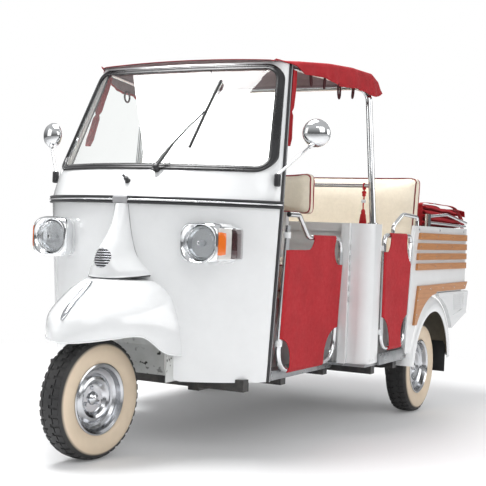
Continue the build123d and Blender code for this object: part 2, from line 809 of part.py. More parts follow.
with BuildPart() as roof_frame:
    tube(
        (
            (-HOOP_FOOT_HALF, aft(HOOP_STATION), PARTITION_TOP + FOOT_DISC / 2),
            (-HOOP_TOP_HALF, aft(HOOP_STATION), HOOP_TOP),
            (HOOP_TOP_HALF, aft(HOOP_STATION), HOOP_TOP),
            (HOOP_FOOT_HALF, aft(HOOP_STATION), PARTITION_TOP + FOOT_DISC / 2),
        ),
        HOOP_RADIUS,
        75,
    )
    rail_height = 1140.0
    rail_half = HOOP_FOOT_HALF - (rail_height - PARTITION_TOP) * (
        HOOP_FOOT_HALF - HOOP_TOP_HALF
    ) / (HOOP_TOP - PARTITION_TOP)
    rod(
        (-rail_half, aft(HOOP_STATION), rail_height),
        (rail_half, aft(HOOP_STATION), rail_height),
        9,
    )
    for side in (LEFT, RIGHT):
        rod(
            (side * 462, aft(689), HEADER_TOP - 14),
            (side * 560, aft(HOOP_STATION), HOOP_TOP),
            RAIL_TUBE_RADIUS,
        )
        with BuildSketch(
            Plane(origin=(side * HOOP_FOOT_HALF, aft(HOOP_STATION), PARTITION_TOP + FIT))
        ):
            Circle(24)
        extrude(amount=FOOT_DISC)
save(roof_frame, "roof_frame")

ROOF_CROWN = HEADER_TOP + 27.0
# Canopy sections: station, half width, underside height, edge height, crown height, hem.
CANOPY_SECTIONS = (
    (597.0, 440.0, HEADER_TOP + FIT, HEADER_TOP + 9, HEADER_TOP + 25, HEADER_TOP + FIT),
    (674.0, 488.0, HEADER_TOP + FIT, HEADER_TOP + 10, ROOF_CROWN, HEADER_TOP + FIT),
    (690.0, 496.0, HEADER_TOP + FIT, HEADER_TOP + 11, ROOF_CROWN, HEADER_TOP - 19),
    (730.0, 518.0, HEADER_TOP + FIT, HEADER_TOP + 12, ROOF_CROWN, HEADER_TOP - 37),
    (
        HOOP_STATION,
        HOOP_TOP_HALF + 32,
        HOOP_TOP + HOOP_RADIUS + 1,
        HEADER_TOP + 1,
        ROOF_CROWN,
        HEADER_TOP - 63,
    ),
    (1330.0, HOOP_TOP_HALF + 28, HEADER_TOP - 41, HEADER_TOP - 29, HEADER_TOP - 3, HEADER_TOP - 51),
)

with BuildPart() as canopy:
    outer_faces, inner_faces = [], []
    for station, half, under, edge, crown, hem in CANOPY_SECTIONS:
        with BuildSketch(Plane.XZ.offset(-aft(station))) as outside:
            with BuildLine():
                ThreePointArc((-half, edge), (0, crown), (half, edge))
                Polyline((half, edge), (half, hem), (-half, hem), (-half, edge))
            make_face()
        outer_faces.append(outside.sketch.face())
        with BuildSketch(Plane.XZ.offset(-aft(station))) as inside:
            with BuildLine():
                Polyline(
                    (-half + CLOTH, under),
                    (half - CLOTH, under),
                    (half - CLOTH, hem - 4),
                    (-half + CLOTH, hem - 4),
                    close=True,
                )
            make_face()
        inner_faces.append(inside.sketch.face())
    loft(outer_faces, ruled=True)
    loft(inner_faces, ruled=True, mode=Mode.SUBTRACT)
save(canopy, "canopy")

CURTAIN_LENGTH = 533.0
CURTAIN_RADIUS = 14.0

with BuildPart() as side_curtains:
    for side in (LEFT, RIGHT):
        rod(
            (side * 480, aft(691), HEADER_TOP - 26),
            (side * 534, aft(628), HEADER_TOP - CURTAIN_LENGTH),
            CURTAIN_RADIUS,
        )
save(side_curtains, "side_curtains")

# ---------------------------------------------------------------- rear body
# Front edge of the body side, from the top down: station, height.
BODY_FRONT_EDGE = (
    (1662.0, DECK_TOP),
    (1632.0, 850.0),
    (1605.0, 654.0),
    (1586.0, 508.0),
    (1572.0, 345.0),
)
BODY_SIDE_BOTTOM = 630.0
WHEELHOUSE_INNER = 505.0
FENDER_RADIUS = 372.0
FENDER_OPENING = 292.0
FENDER_SHEET = 6.0
FENDER_FACE = BODY_HALF_WIDTH + 4.0
FENDER_SWEEP = 144.0
SEAT_BOX_TOP = 660.0
BULKHEAD = 1835.0
GATE_HALF_WIDTH = BODY_HALF_WIDTH - 152.0
GATE_BOTTOM = 662.0
GATE_TOP = 925.0


def front_edge_station(height):
    """Station of the body side's front edge at a height."""
    for top, low in zip(BODY_FRONT_EDGE, BODY_FRONT_EDGE[1:]):
        if height >= low[1]:
            break
    share = (height - low[1]) / (top[1] - low[1])
    return low[0] + share * (top[0] - low[0])


with BuildPart() as rear_body:
    for side in (LEFT, RIGHT):
        start = BODY_HALF_WIDTH - BODY_WALL if side == LEFT else -BODY_HALF_WIDTH
        with BuildSketch(Plane.YZ.offset(start)):
            with BuildLine():
                Polyline(
                    *((aft(s), h) for s, h in BODY_FRONT_EDGE),
                    (aft(1720), 345),
                    (aft(1720), BODY_SIDE_BOTTOM),
                    (aft(BODY_REAR), BODY_SIDE_BOTTOM),
                    (aft(BODY_REAR), DECK_TOP),
                    close=True,
                )
            make_face()
            with Locations((aft(WHEELBASE), TYRE_RADIUS)):
                Circle(FENDER_RADIUS + FIT, mode=Mode.SUBTRACT)
        extrude(amount=BODY_WALL)
        block(
            sorted((side * WHEELHOUSE_INNER, side * (WHEELHOUSE_INNER + SHEET))),
            (aft(1600), aft(2380)),
            (345, TRUNK_FLOOR),
        )
        block(
            sorted((side * (WHEELHOUSE_INNER + SHEET), side * (BODY_HALF_WIDTH - BODY_WALL))),
            (aft(1600), aft(1600 + SHEET)),
            (345, SEAT_BOX_TOP),
        )
    inner = BODY_HALF_WIDTH - BODY_WALL
    block((-inner, inner), (aft(1600), aft(BODY_REAR)), (TRUNK_FLOOR - SHEET, TRUNK_FLOOR))
    block((-inner, inner), (aft(BODY_REAR) - BODY_WALL, aft(BODY_REAR)), (BODY_SIDE_BOTTOM - 18, DECK_TOP))
    block((-inner, inner), (aft(BULKHEAD), aft(BULKHEAD + SHEET)), (TRUNK_FLOOR, DECK_TOP))
    block((-inner, inner), (aft(BULKHEAD), aft(BODY_REAR)), (DECK_TOP - SHEET, DECK_TOP))
    box_half = inner - 12
    front = aft(REAR_SEAT_FRONT)
    block((-box_half, box_half), (front, front + SHEET), (FLOOR_TOP, SEAT_BOX_TOP))
    block((-box_half, box_half), (front, aft(BULKHEAD)), (SEAT_BOX_TOP - SHEET, SEAT_BOX_TOP))
    with Locations((0, aft(BODY_REAR) - BODY_WALL / 2, (GATE_BOTTOM + GATE_TOP) / 2)):
        Box(2 * GATE_HALF_WIDTH, BODY_WALL + 2, GATE_TOP - GATE_BOTTOM, mode=Mode.SUBTRACT)
save(rear_body, "rear_body")

GATE_GAP = 5.5

with BuildPart() as tailgate:
    block(
        (-GATE_HALF_WIDTH + GATE_GAP, GATE_HALF_WIDTH - GATE_GAP),
        (aft(BODY_REAR) - BODY_WALL + 4, aft(BODY_REAR) + 2),
        (GATE_BOTTOM + GATE_GAP, GATE_TOP - GATE_GAP),
    )
    for side in (LEFT, RIGHT):
        with Locations((side * 420, aft(BODY_REAR) + 6, GATE_BOTTOM + 2)):
            Cylinder(5.5, 90, rotation=(0, 90, 0))
    block((-60, 60), (aft(BODY_REAR) + 2, aft(BODY_REAR) + 22), (GATE_TOP - 52, GATE_TOP - 40))
save(tailgate, "tailgate")

with BuildPart() as rear_fenders:
    for side in (LEFT, RIGHT):
        centre = (0, aft(WHEELBASE), TYRE_RADIUS)
        slope = math.radians(18)
        with BuildSketch(
            Plane(
                origin=centre,
                x_dir=(side, 0, 0),
                z_dir=(0, side * math.sin(slope), side * math.cos(slope)),
            )
        ) as lip:
            with BuildLine():
                radius = FENDER_RADIUS
                wall = WHEELHOUSE_INNER + SHEET + FIT
                soft = 46.0
                face = FENDER_FACE
                Line((wall, radius), (face - soft, radius))
                ThreePointArc(
                    (face - soft, radius),
                    (face - soft * (1 - math.sqrt(0.5)), radius - soft * (1 - math.sqrt(0.5))),
                    (face, radius - soft),
                )
                Polyline(
                    (face, radius - soft),
                    (face, FENDER_OPENING),
                    (face - FENDER_SHEET, FENDER_OPENING),
                    (face - FENDER_SHEET, radius - soft),
                )
                inner_soft = soft - FENDER_SHEET
                ThreePointArc(
                    (face - FENDER_SHEET, radius - soft),
                    (
                        face - FENDER_SHEET - inner_soft * (1 - math.sqrt(0.5)),
                        radius - FENDER_SHEET - inner_soft * (1 - math.sqrt(0.5)),
                    ),
                    (face - soft, radius - FENDER_SHEET),
                )
                Polyline(
                    (face - soft, radius - FENDER_SHEET), (wall, radius - FENDER_SHEET), (wall, radius)
                )
            make_face()
        revolve(axis=Axis(centre, (1, 0, 0)), revolution_arc=FENDER_SWEEP)
save(rear_fenders, "rear_fenders")

# Engine side cover outline: station, height.
COVER_OUTLINE = ((2064.0, 624.0), (2604.0, 621.0), (2582.0, 499.0), (2249.0, 404.0))
COVER_GRILLE = ((2261.0, 610.0), (2527.0, 610.0), (2510.0, 522.0), (2336.0, 492.0))

with BuildPart() as engine_covers:
    for side in (LEFT, RIGHT):
        outer_start = BODY_HALF_WIDTH - BODY_WALL if side == LEFT else -BODY_HALF_WIDTH
        with BuildSketch(Plane.YZ.offset(outer_start)):
            with BuildLine():
                Polyline(*((aft(s), h) for s, h in COVER_OUTLINE), close=True)
            make_face()
            with Locations((aft(WHEELBASE), TYRE_RADIUS)):
                Circle(FENDER_RADIUS + FIT, mode=Mode.SUBTRACT)
        extrude(amount=BODY_WALL)
        grille_start = BODY_HALF_WIDTH - 5 if side == LEFT else -BODY_HALF_WIDTH
        with BuildSketch(Plane.YZ.offset(grille_start)):
            with BuildLine():
                Polyline(*((aft(s), h) for s, h in COVER_GRILLE), close=True)
            make_face()
        extrude(amount=5, mode=Mode.SUBTRACT)
        for rib in range(8):
            block(
                sorted((side * (BODY_HALF_WIDTH - 6), side * (BODY_HALF_WIDTH - 1))),
                (aft(2345), aft(2500)),
                (520 + rib * 11, 525 + rib * 11),
            )
        tab = BODY_HALF_WIDTH - BODY_WALL
        block(sorted((side * (tab - 6), side * tab)), (aft(2200), aft(2500)), (560, 611.7))
save(engine_covers, "engine_covers")

with BuildPart() as mudflaps:
    for side in (LEFT, RIGHT):
        block(sorted((side * 534, side * 686)), (aft(2296), aft(2301)), (186, 352))
        block(sorted((side * 534, side * 686)), (aft(2296), aft(2344)), (346, 352))
save(mudflaps, "mudflaps")

# Wooden rubbing strips and arch trims on the body sides.
WOOD_THICKNESS = 12.0
SLAT_HEIGHTS = (919.0, 868.0, 817.0, 766.0)
SLAT_HEIGHT = 33.0
SLAT_REAR = 2508.0
ARCH_RADIUS = 386.0
ARCH_TRIM = (
    (1714.0, 670.0),
    (2545.0, 675.0),
    (2508.0, 634.0),
    (2000.0, 634.0),
    (1780.0, 477.0),
    (1664.0, 477.0),
)

with BuildPart() as wood_trims:
    for side in (LEFT, RIGHT):
        near = BODY_HALF_WIDTH if side == LEFT else -BODY_HALF_WIDTH - WOOD_THICKNESS
        for height in SLAT_HEIGHTS:
            low, high = height - SLAT_HEIGHT / 2, height + SLAT_HEIGHT / 2
            with BuildSketch(Plane.YZ.offset(near)):
                with BuildLine():
                    Polyline(
                        (aft(front_edge_station(low) + 62), low),
                        (aft(SLAT_REAR), low),
                        (aft(SLAT_REAR), high),
                        (aft(front_edge_station(high) + 62), high),
                        close=True,
                    )
                make_face()
            extrude(amount=WOOD_THICKNESS)
        with BuildSketch(Plane.YZ.offset(near)):
            with BuildLine():
                Polyline(*((aft(s), h) for s, h in ARCH_TRIM), close=True)
            make_face()
            with Locations((aft(WHEELBASE), TYRE_RADIUS)):
                Circle(ARCH_RADIUS, mode=Mode.SUBTRACT)
        extrude(amount=WOOD_THICKNESS)
save(wood_trims, "wood_trims")

pad(
    "bench_cushion",
    (84 - BODY_HALF_WIDTH, BODY_HALF_WIDTH - 84),
    (aft(REAR_SEAT_FRONT + 4), aft(1706)),
    (SEAT_BOX_TOP + FIT, 805),
    34,
)

with BuildPart() as bench_backrest:
    with BuildSketch(Plane.YZ.offset(22 - BODY_HALF_WIDTH)):
        with BuildLine():
            Polyline(
                (aft(1708), SEAT_BOX_TOP + FIT),
                (aft(1762), 1234),
                (aft(1838), 1234),
                (aft(BULKHEAD) - FIT, DECK_TOP),
                (aft(BULKHEAD) - FIT, SEAT_BOX_TOP + FIT),
                close=True,
            )
        make_face()
    extrude(amount=2 * (BODY_HALF_WIDTH - 22))
    fillet(bench_backrest.edges().filter_by(Axis.X).sort_by(Axis.Z)[-2:], 28)
save(bench_backrest, "bench_backrest")

with BuildPart() as armrests:
    for side in (LEFT, RIGHT):
        x = side * (BODY_HALF_WIDTH - 51)
        tube(
            (
                (x, aft(1478), SEAT_BOX_TOP + FIT),
                (x, aft(1478), 960),
                (side * (BODY_HALF_WIDTH - 32), aft(1560), 1022),
                (side * (BODY_HALF_WIDTH - 10), aft(1706), 1012),
                (side * (BODY_HALF_WIDTH - 10), aft(1706), DECK_TOP + FIT),
            ),
            10,
            (38, 38, 20),
        )
save(armrests, "armrests")

with BuildPart() as folded_hood:
    with BuildSketch(Plane.YZ.offset(28 - BODY_HALF_WIDTH)) as bundle:
        with BuildLine():
            Polyline(
                (aft(1885), DECK_TOP + FIT),
                (aft(2590), DECK_TOP + FIT),
                (aft(2630), 992),
                (aft(2470), 1082),
                (aft(2120), 1098),
                (aft(1892), 1050),
                close=True,
            )
        make_face()
        fillet(bundle.vertices(), 12)
    extrude(amount=2 * (BODY_HALF_WIDTH - 28))
save(folded_hood, "folded_hood")

BOW_RADIUS = 8.0

with BuildPart() as hood_bows:
    for side in (LEFT, RIGHT):
        x = side * (BODY_HALF_WIDTH - 16)
        block((x - 8, x + 8), (aft(1868), aft(1912)), (DECK_TOP, 1034))
        tube(
            ((x, aft(1900), 1022), (x, aft(2200), 1040), (x, aft(2560), 1004)),
            BOW_RADIUS,
            120,
        )
        rod((x, aft(1900), 992), (x, aft(2540), 984), BOW_RADIUS)
save(hood_bows, "hood_bows")

with BuildPart() as tail_lamps:
    for side in (LEFT, RIGHT):
        for height, radius in ((880.0, 34.0), (800.0, 34.0)):
            with Locations(
                Location((side * (BODY_HALF_WIDTH - 72), aft(BODY_REAR) + 14, height), (90, 0, 0))
            ):
                Cylinder(radius, 28)
save(tail_lamps, "tail_lamps")

# ---------------------------------------------------------------- engine and rear suspension
ENGINE_FRONT = 1780.0 + CROSS_WIDTH
REAR_HUB_X = REAR_TRACK / 2

with BuildPart() as engine_block:
    block((-170, 170), (aft(ENGINE_FRONT), aft(2200)), (190, 470))
    block((-60, 60), (aft(2200), aft(2300)), (260, 430))
save(engine_block, "engine_block")

with BuildPart() as rear_suspension:
    for side in (LEFT, RIGHT):
        hub_x = side * (REAR_HUB_X - DRUM_BACK - 33)
        tube(
            (
                (side * (RAIL_OFFSET + RAIL_WIDTH / 2 + FIT), aft(1625), RAIL_BOTTOM + 20),
                (side * 380, aft(1625), RAIL_BOTTOM + 20),
                (hub_x, aft(1900), TYRE_RADIUS + 4),
                (hub_x, aft(WHEELBASE), TYRE_RADIUS),
            ),
            20,
            50,
        )
        rod(
            (side * (170 + FIT), aft(WHEELBASE), TYRE_RADIUS),
            (hub_x, aft(WHEELBASE), TYRE_RADIUS),
            14,
        )
        rod(
            (side * 450, aft(1945), TYRE_RADIUS + 4),
            (side * 450, aft(1945), TRUNK_FLOOR - SHEET - FIT),
            30,
        )
        with Locations(
            Location((side * (REAR_HUB_X - DRUM_BACK - 12), aft(WHEELBASE), TYRE_RADIUS), (0, 90, 0))
        ):
            Cylinder(DRUM_RADIUS, 12)
        spindle_length = 16 + SPINDLE_REACH
        with Locations(
            Location(
                (
                    side * (REAR_HUB_X - DRUM_BACK - 16 + spindle_length / 2),
                    aft(WHEELBASE),
                    TYRE_RADIUS,
                ),
                (0, 90, 0),
            )
        ):
            Cylinder(SPINDLE_RADIUS, spindle_length)
save(rear_suspension, "rear_suspension")

# ---------------------------------------------------------------- wheels
# Rim and drum outline, from the middle plane outwards: offset, radius.
RIM_OUTLINE = (
    (-BEAD_HALF_WIDTH - FLANGE_WIDTH, FLANGE_RADIUS),
    (-BEAD_HALF_WIDTH, FLANGE_RADIUS),
    (-BEAD_HALF_WIDTH, BEAD_RADIUS - FIT),
    (BEAD_HALF_WIDTH, BEAD_RADIUS - FIT),
    (BEAD_HALF_WIDTH, FLANGE_RADIUS),
    (BEAD_HALF_WIDTH + FLANGE_WIDTH, FLANGE_RADIUS),
    (BEAD_HALF_WIDTH + FLANGE_WIDTH + 2, 134.0),
    (47.0, 124.0),
    (26.0, 118.0),
    (18.0, 108.0),
    (16.0, 98.0),
    (25.0, 86.0),
    (28.0, 76.0),
    (24.0, 66.0),
    (12.0, 57.0),
    (10.0, 53.0),
    (10.0, 27.0),
    (18.0, 25.0),
    (27.0, 15.0),
    (31.0, 0.0),
    (3.0, 0.0),
    (3.0, SPINDLE_RADIUS + BEARING_GAP),
    (-DRUM_BACK, SPINDLE_RADIUS + BEARING_GAP),
    (-DRUM_BACK, DRUM_RADIUS),
    (-52.0, DRUM_RADIUS),
    (-46.0, 40.0),
    (-4.0, 40.0),
    (0.0, 58.0),
    (13.0, 68.0),
    (17.0, 76.0),
    (14.0, 86.0),
    (5.0, 98.0),
    (7.0, 110.0),
    (12.0, 120.0),
    (-40.0, 120.0),
    (-50.0, 126.0),
    (-53.0, 134.0),
)


def wheel(tag, centre, outward):
    """Tyre and rim of one wheel, facing along outward."""
    plane = Plane(origin=centre, x_dir=outward, z_dir=(0, 0, 1))
    axle = Axis(centre, outward)
    with BuildPart() as tyre:
        with BuildSketch(plane):
            with BuildLine():
                bead = BEAD_HALF_WIDTH - FIT
                shoulder = TYRE_RADIUS - 12
                tread = TYRE_HALF_WIDTH - 17
                for way in (LEFT, RIGHT):
                    Line((way * bead, BEAD_RADIUS), (way * bead, FLANGE_RADIUS + 2))
                    ThreePointArc(
                        (way * bead, FLANGE_RADIUS + 2),
                        (way * TYRE_HALF_WIDTH, (FLANGE_RADIUS + shoulder) / 2),
                        (way * (tread + 6), shoulder),
                    )
                    Line(
                        (way * (tread + 6), shoulder),
                        (way * tread, TYRE_RADIUS - TREAD_DROP),
                    )
                ThreePointArc(
                    (-tread, TYRE_RADIUS - TREAD_DROP),
                    (0, TYRE_RADIUS),
                    (tread, TYRE_RADIUS - TREAD_DROP),
                )
                Line((-bead, BEAD_RADIUS), (bead, BEAD_RADIUS))
            make_face()
        revolve(axis=axle)
    save(tyre, f"{tag}_tyre")
    with BuildPart() as rim:
        with BuildSketch(plane):
            with BuildLine():
                Polyline(*RIM_OUTLINE, close=True)
            make_face()
        revolve(axis=axle)
        face = Plane(origin=centre, x_dir=(0, 0, 1), z_dir=outward)
        with BuildSketch(face.offset(8)):
            with PolarLocations(NUT_CIRCLE_RADIUS, NUT_COUNT):
                RegularPolygon(NUT_RADIUS, 6)
        extrude(amount=NUT_HEIGHT)
    save(rim, f"{tag}_rim")


for side, hand in SIDES:
    wheel(
        f"rear_{hand}",
        (side * REAR_HUB_X, aft(WHEELBASE), TYRE_RADIUS),
        (side, 0, 0),
    )

# The front wheel and fork stand turned by STEER_REST about the column's line.
rest = math.radians(STEER_REST)
pivot = Vector(*steer_point(TYRE_RADIUS))
swing = Vector(0, FRONT_AXLE_Y, TYRE_RADIUS) - pivot
FRONT_CENTRE = pivot + Vector(-swing.Y * math.sin(rest), swing.Y * math.cos(rest), 0)
AXLE_OUT = Vector(math.cos(rest), math.sin(rest), 0)
AXLE_AFT = Vector(-math.sin(rest), math.cos(rest), 0)
wheel("front", FRONT_CENTRE, AXLE_OUT)


def fork_point(out, back, up):
    """Point given outboard, aft and above the front wheel's centre."""
    return (FRONT_CENTRE + AXLE_OUT * out + AXLE_AFT * back + Vector(0, 0, up))


with BuildPart() as steering_fork:
    column_foot = steer_point(500)
    rod(column_foot, steer_point(BAR_HEIGHT), COLUMN_RADIUS)
    with Locations(column_foot):
        Sphere(COLUMN_RADIUS + 6)
    tube(
        (
            column_foot,
            fork_point(-FORK_OFFSET, 178, 232),
            fork_point(-FORK_OFFSET, 96, 40),
            fork_point(-FORK_OFFSET, 90, 0),
        ),
        FORK_RADIUS,
        24,
    )
    rod(fork_point(-FORK_OFFSET, 100, 8), fork_point(-FORK_OFFSET, -12, 0), 17)
    rod(
        fork_point(-DRUM_BACK - 4, 0, 0),
        fork_point(-DRUM_BACK + SPINDLE_REACH, 0, 0),
        SPINDLE_RADIUS,
    )
    rod(fork_point(-DRUM_BACK - 26, 0, 0), fork_point(-DRUM_BACK - 4, 0, 0), DRUM_RADIUS - 24)
    bar_plane = Plane(
        origin=steer_point(BAR_HEIGHT),
        x_dir=(
            math.cos(rest),
            STEER_DIRECTION[2] * math.sin(rest),
            -STEER_DIRECTION[1] * math.sin(rest),
        ),
        z_dir=STEER_DIRECTION,
    )
    for side in (LEFT, RIGHT):
        run = [
            bar_plane.from_local_coords(Vector(side * a, b, c))
            for a, b, c in ((0, 0, 0), (110, 0, 26), (BAR_HALF_WIDTH, 58, 26))
        ]
        tube(run, BAR_RADIUS, 40)
        grip = [
            bar_plane.from_local_coords(Vector(side * a, b, c))
            for a, b, c in ((165, 20.6, 26), (BAR_HALF_WIDTH + 8, 61, 26))
        ]
        rod(*grip, BAR_RADIUS + 5)
save(steering_fork, "steering_fork")

# ---------------------------------------------------------------- doors
# Tube runs and cloth outlines lie in the door's own plane: station, height.
FRONT_DOOR_RUN = (
    (FRONT_HINGE_STATION, 985.0),
    (592.0, 985.0),
    (700.0, 893.0),
    (1060.0, 893.0),
    (1060.0, 345.0),
    (FRONT_HINGE_STATION, 345.0),
    (FRONT_HINGE_STATION, 940.0),
)
FRONT_DOOR_BENDS = (34.0, 60.0, 62.0, 92.0, 92.0)
FRONT_CLOTH_FOOT = 480.0  # clear of the lower hinge strap
FRONT_DOOR_CLOTH = (
    ((486.0, 840.0), (640.0, 840.0)),
    ((640.0, 840.0), (716.0, 852.0), (740.0, 904.5)),
    ((740.0, 904.5), (975.0, 904.5)),
    ((975.0, 904.5), (968.0, 812.0), (1071.5, 775.0)),
    ((1071.5, 775.0), (1071.5, 493.0)),
    ((1071.5, 493.0), (966.0, 462.0), (936.0, 333.5)),
    ((936.0, 333.5), (580.0, 333.5)),
    ((580.0, 333.5), (566.0, 440.0), (486.0, FRONT_CLOTH_FOOT)),
    ((486.0, FRONT_CLOTH_FOOT), (486.0, 840.0)),
)
REAR_DOOR_GAP = DOOR_TUBE + 7.0  # tube centre ahead of the body side
REAR_DOOR_RUN = (
    (REAR_HINGE_STATION, 600.0),
    (REAR_HINGE_STATION, 916.0),
    (front_edge_station(916.0) - REAR_DOOR_GAP, 916.0),
    (front_edge_station(850.0) - REAR_DOOR_GAP, 850.0),
    (front_edge_station(392.0) - REAR_DOOR_GAP, 392.0),
    (REAR_HINGE_STATION, 392.0),
    (REAR_HINGE_STATION, 605.0),
)
REAR_DOOR_CLOTH = (
    ((1251.0, 838.0), (1290.0, 838.0)),
    ((1290.0, 838.0), (1312.0, 866.0), (1318.0, 927.5)),
    ((1318.0, 927.5), (1545.0, 927.5)),
    ((1545.0, 927.5), (1550.0, 830.0), (1612.0, 780.0)),
    ((1612.0, 780.0), (1580.0, 535.0)),
    ((1580.0, 535.0), (1500.0, 480.0), (1520.0, 380.5)),
    ((1520.0, 380.5), (1340.0, 380.5)),
    ((1340.0, 380.5), (1326.0, 480.0), (1251.0, 540.0)),
    ((1251.0, 540.0), (1251.0, 838.0)),
)


def door_plane(side, x, foot, lean):
    """Door's plane: local X runs aft and local Y up, and its normal points outboard."""
    up = Vector(side * math.sin(lean), 0, math.cos(lean))
    normal = Vector(side * math.cos(lean), 0, -math.sin(lean))
    return Plane(
        origin=(side * x, aft(0), foot),
        x_dir=(0, side, 0),
        z_dir=normal,
    ), up


def door(tag, side, x, foot, lean, run, bends, outline):
    """Bent tube frame and its cloth panel."""
    plane, _ = door_plane(side, x, foot, lean)

    def local(point):
        return (side * point[0], (point[1] - foot) / math.cos(lean))

    with BuildPart() as frame:
        spots = [
            plane.from_local_coords(Vector(*local(p), 0)) for p in run
        ]
        tube(spots, DOOR_TUBE, bends)
    save(frame, f"{tag}_frame")
    with BuildPart() as cloth:
        with BuildSketch(plane.offset(DOOR_TUBE + FIT)):
            with BuildLine():
                for piece in outline:
                    ends = [local(p) for p in piece]
                    if len(ends) == 2:
                        Line(*ends)
                    else:
                        ThreePointArc(*ends)
            make_face()
        extrude(amount=DOOR_CLOTH)
    save(cloth, f"{tag}_cloth")


for side, hand in SIDES:
    door(
        f"front_door_{hand}",
        side,
        FRONT_DOOR_X,
        FRONT_DOOR_FOOT,
        DOOR_LEAN,
        FRONT_DOOR_RUN,
        FRONT_DOOR_BENDS,
        FRONT_DOOR_CLOTH,
    )
    door(
        f"rear_door_{hand}",
        side,
        REAR_DOOR_X,
        400.0,
        0.0,
        REAR_DOOR_RUN,
        (40.0, 30.0, 30.0, 60.0, 60.0),
        REAR_DOOR_CLOTH,
    )
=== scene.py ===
"""Looks of the auto rickshaw: finishes for its solids and the pieces that dress them.

Lengths are in metres. The vehicle drives towards -Y, +X is its own left side and +Z is up.
Stations count aft from the front axle.
"""

from __future__ import annotations

import logging
import math
from contextlib import contextmanager
from dataclasses import dataclass
from enum import Enum
from typing import Callable, Iterator, Sequence

import bmesh
import bpy
from mathutils import Matrix, Vector


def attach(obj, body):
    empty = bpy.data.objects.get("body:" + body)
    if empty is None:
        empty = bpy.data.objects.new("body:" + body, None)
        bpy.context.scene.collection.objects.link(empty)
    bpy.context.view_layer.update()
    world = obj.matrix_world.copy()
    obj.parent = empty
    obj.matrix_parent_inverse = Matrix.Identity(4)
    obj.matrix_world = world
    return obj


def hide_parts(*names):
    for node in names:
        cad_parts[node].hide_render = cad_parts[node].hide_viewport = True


log = logging.getLogger("auto_rickshaw")
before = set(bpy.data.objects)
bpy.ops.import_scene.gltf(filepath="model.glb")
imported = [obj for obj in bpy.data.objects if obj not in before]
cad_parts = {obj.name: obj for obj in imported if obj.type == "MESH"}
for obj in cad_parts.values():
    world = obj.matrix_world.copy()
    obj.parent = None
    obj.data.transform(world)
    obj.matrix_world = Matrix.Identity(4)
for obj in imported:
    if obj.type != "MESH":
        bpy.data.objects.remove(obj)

Point = tuple[float, float, float]
Loop = Sequence[Point]
Colour = tuple[float, float, float]
Pair = tuple[float, float]
Profile = Sequence[Pair]

FRONT_AXLE = -1.1675
WHEELBASE = 2.0
AXLE_HEIGHT = 0.238
LEFT, RIGHT = 1, -1
TAGS = {LEFT: "left", RIGHT: "right"}


def aft(station: float) -> float:
    """Y of a station, counted aft from the front axle."""
    return FRONT_AXLE + station


class Body(str, Enum):
    """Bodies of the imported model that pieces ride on."""

    SHELL = "body"
    STEERING = "steering"
    FRONT_WHEEL = "front_wheel"
    REAR_WHEEL_LEFT = "rear_wheel_left"
    REAR_WHEEL_RIGHT = "rear_wheel_right"
    FRONT_DOOR_LEFT = "front_door_left"
    FRONT_DOOR_RIGHT = "front_door_right"
    REAR_DOOR_LEFT = "rear_door_left"
    REAR_DOOR_RIGHT = "rear_door_right"
    TAILGATE = "tailgate"


# ---------------------------------------------------------------- shader groups
def new_group(name: str, inputs: dict[str, float], outputs: dict[str, str]) -> bpy.types.NodeTree:
    """Starts a shader group.

    Args:
        name: the group's name.
        inputs: number sockets and their usual values.
        outputs: socket names and their kinds, "Float", "Color" or "Vector".

    Returns:
        The new node tree, with its two end nodes named "in" and "out".
    """
    tree = bpy.data.node_groups.new(name, "ShaderNodeTree")
    for label, value in inputs.items():
        socket = tree.interface.new_socket(label, in_out="INPUT", socket_type="NodeSocketFloat")
        socket.default_value = value
    for label, kind in outputs.items():
        tree.interface.new_socket(label, in_out="OUTPUT", socket_type=f"NodeSocket{kind}")
    start = tree.nodes.new("NodeGroupInput")
    start.name = "in"
    end = tree.nodes.new("NodeGroupOutput")
    end.name = "out"
    return tree


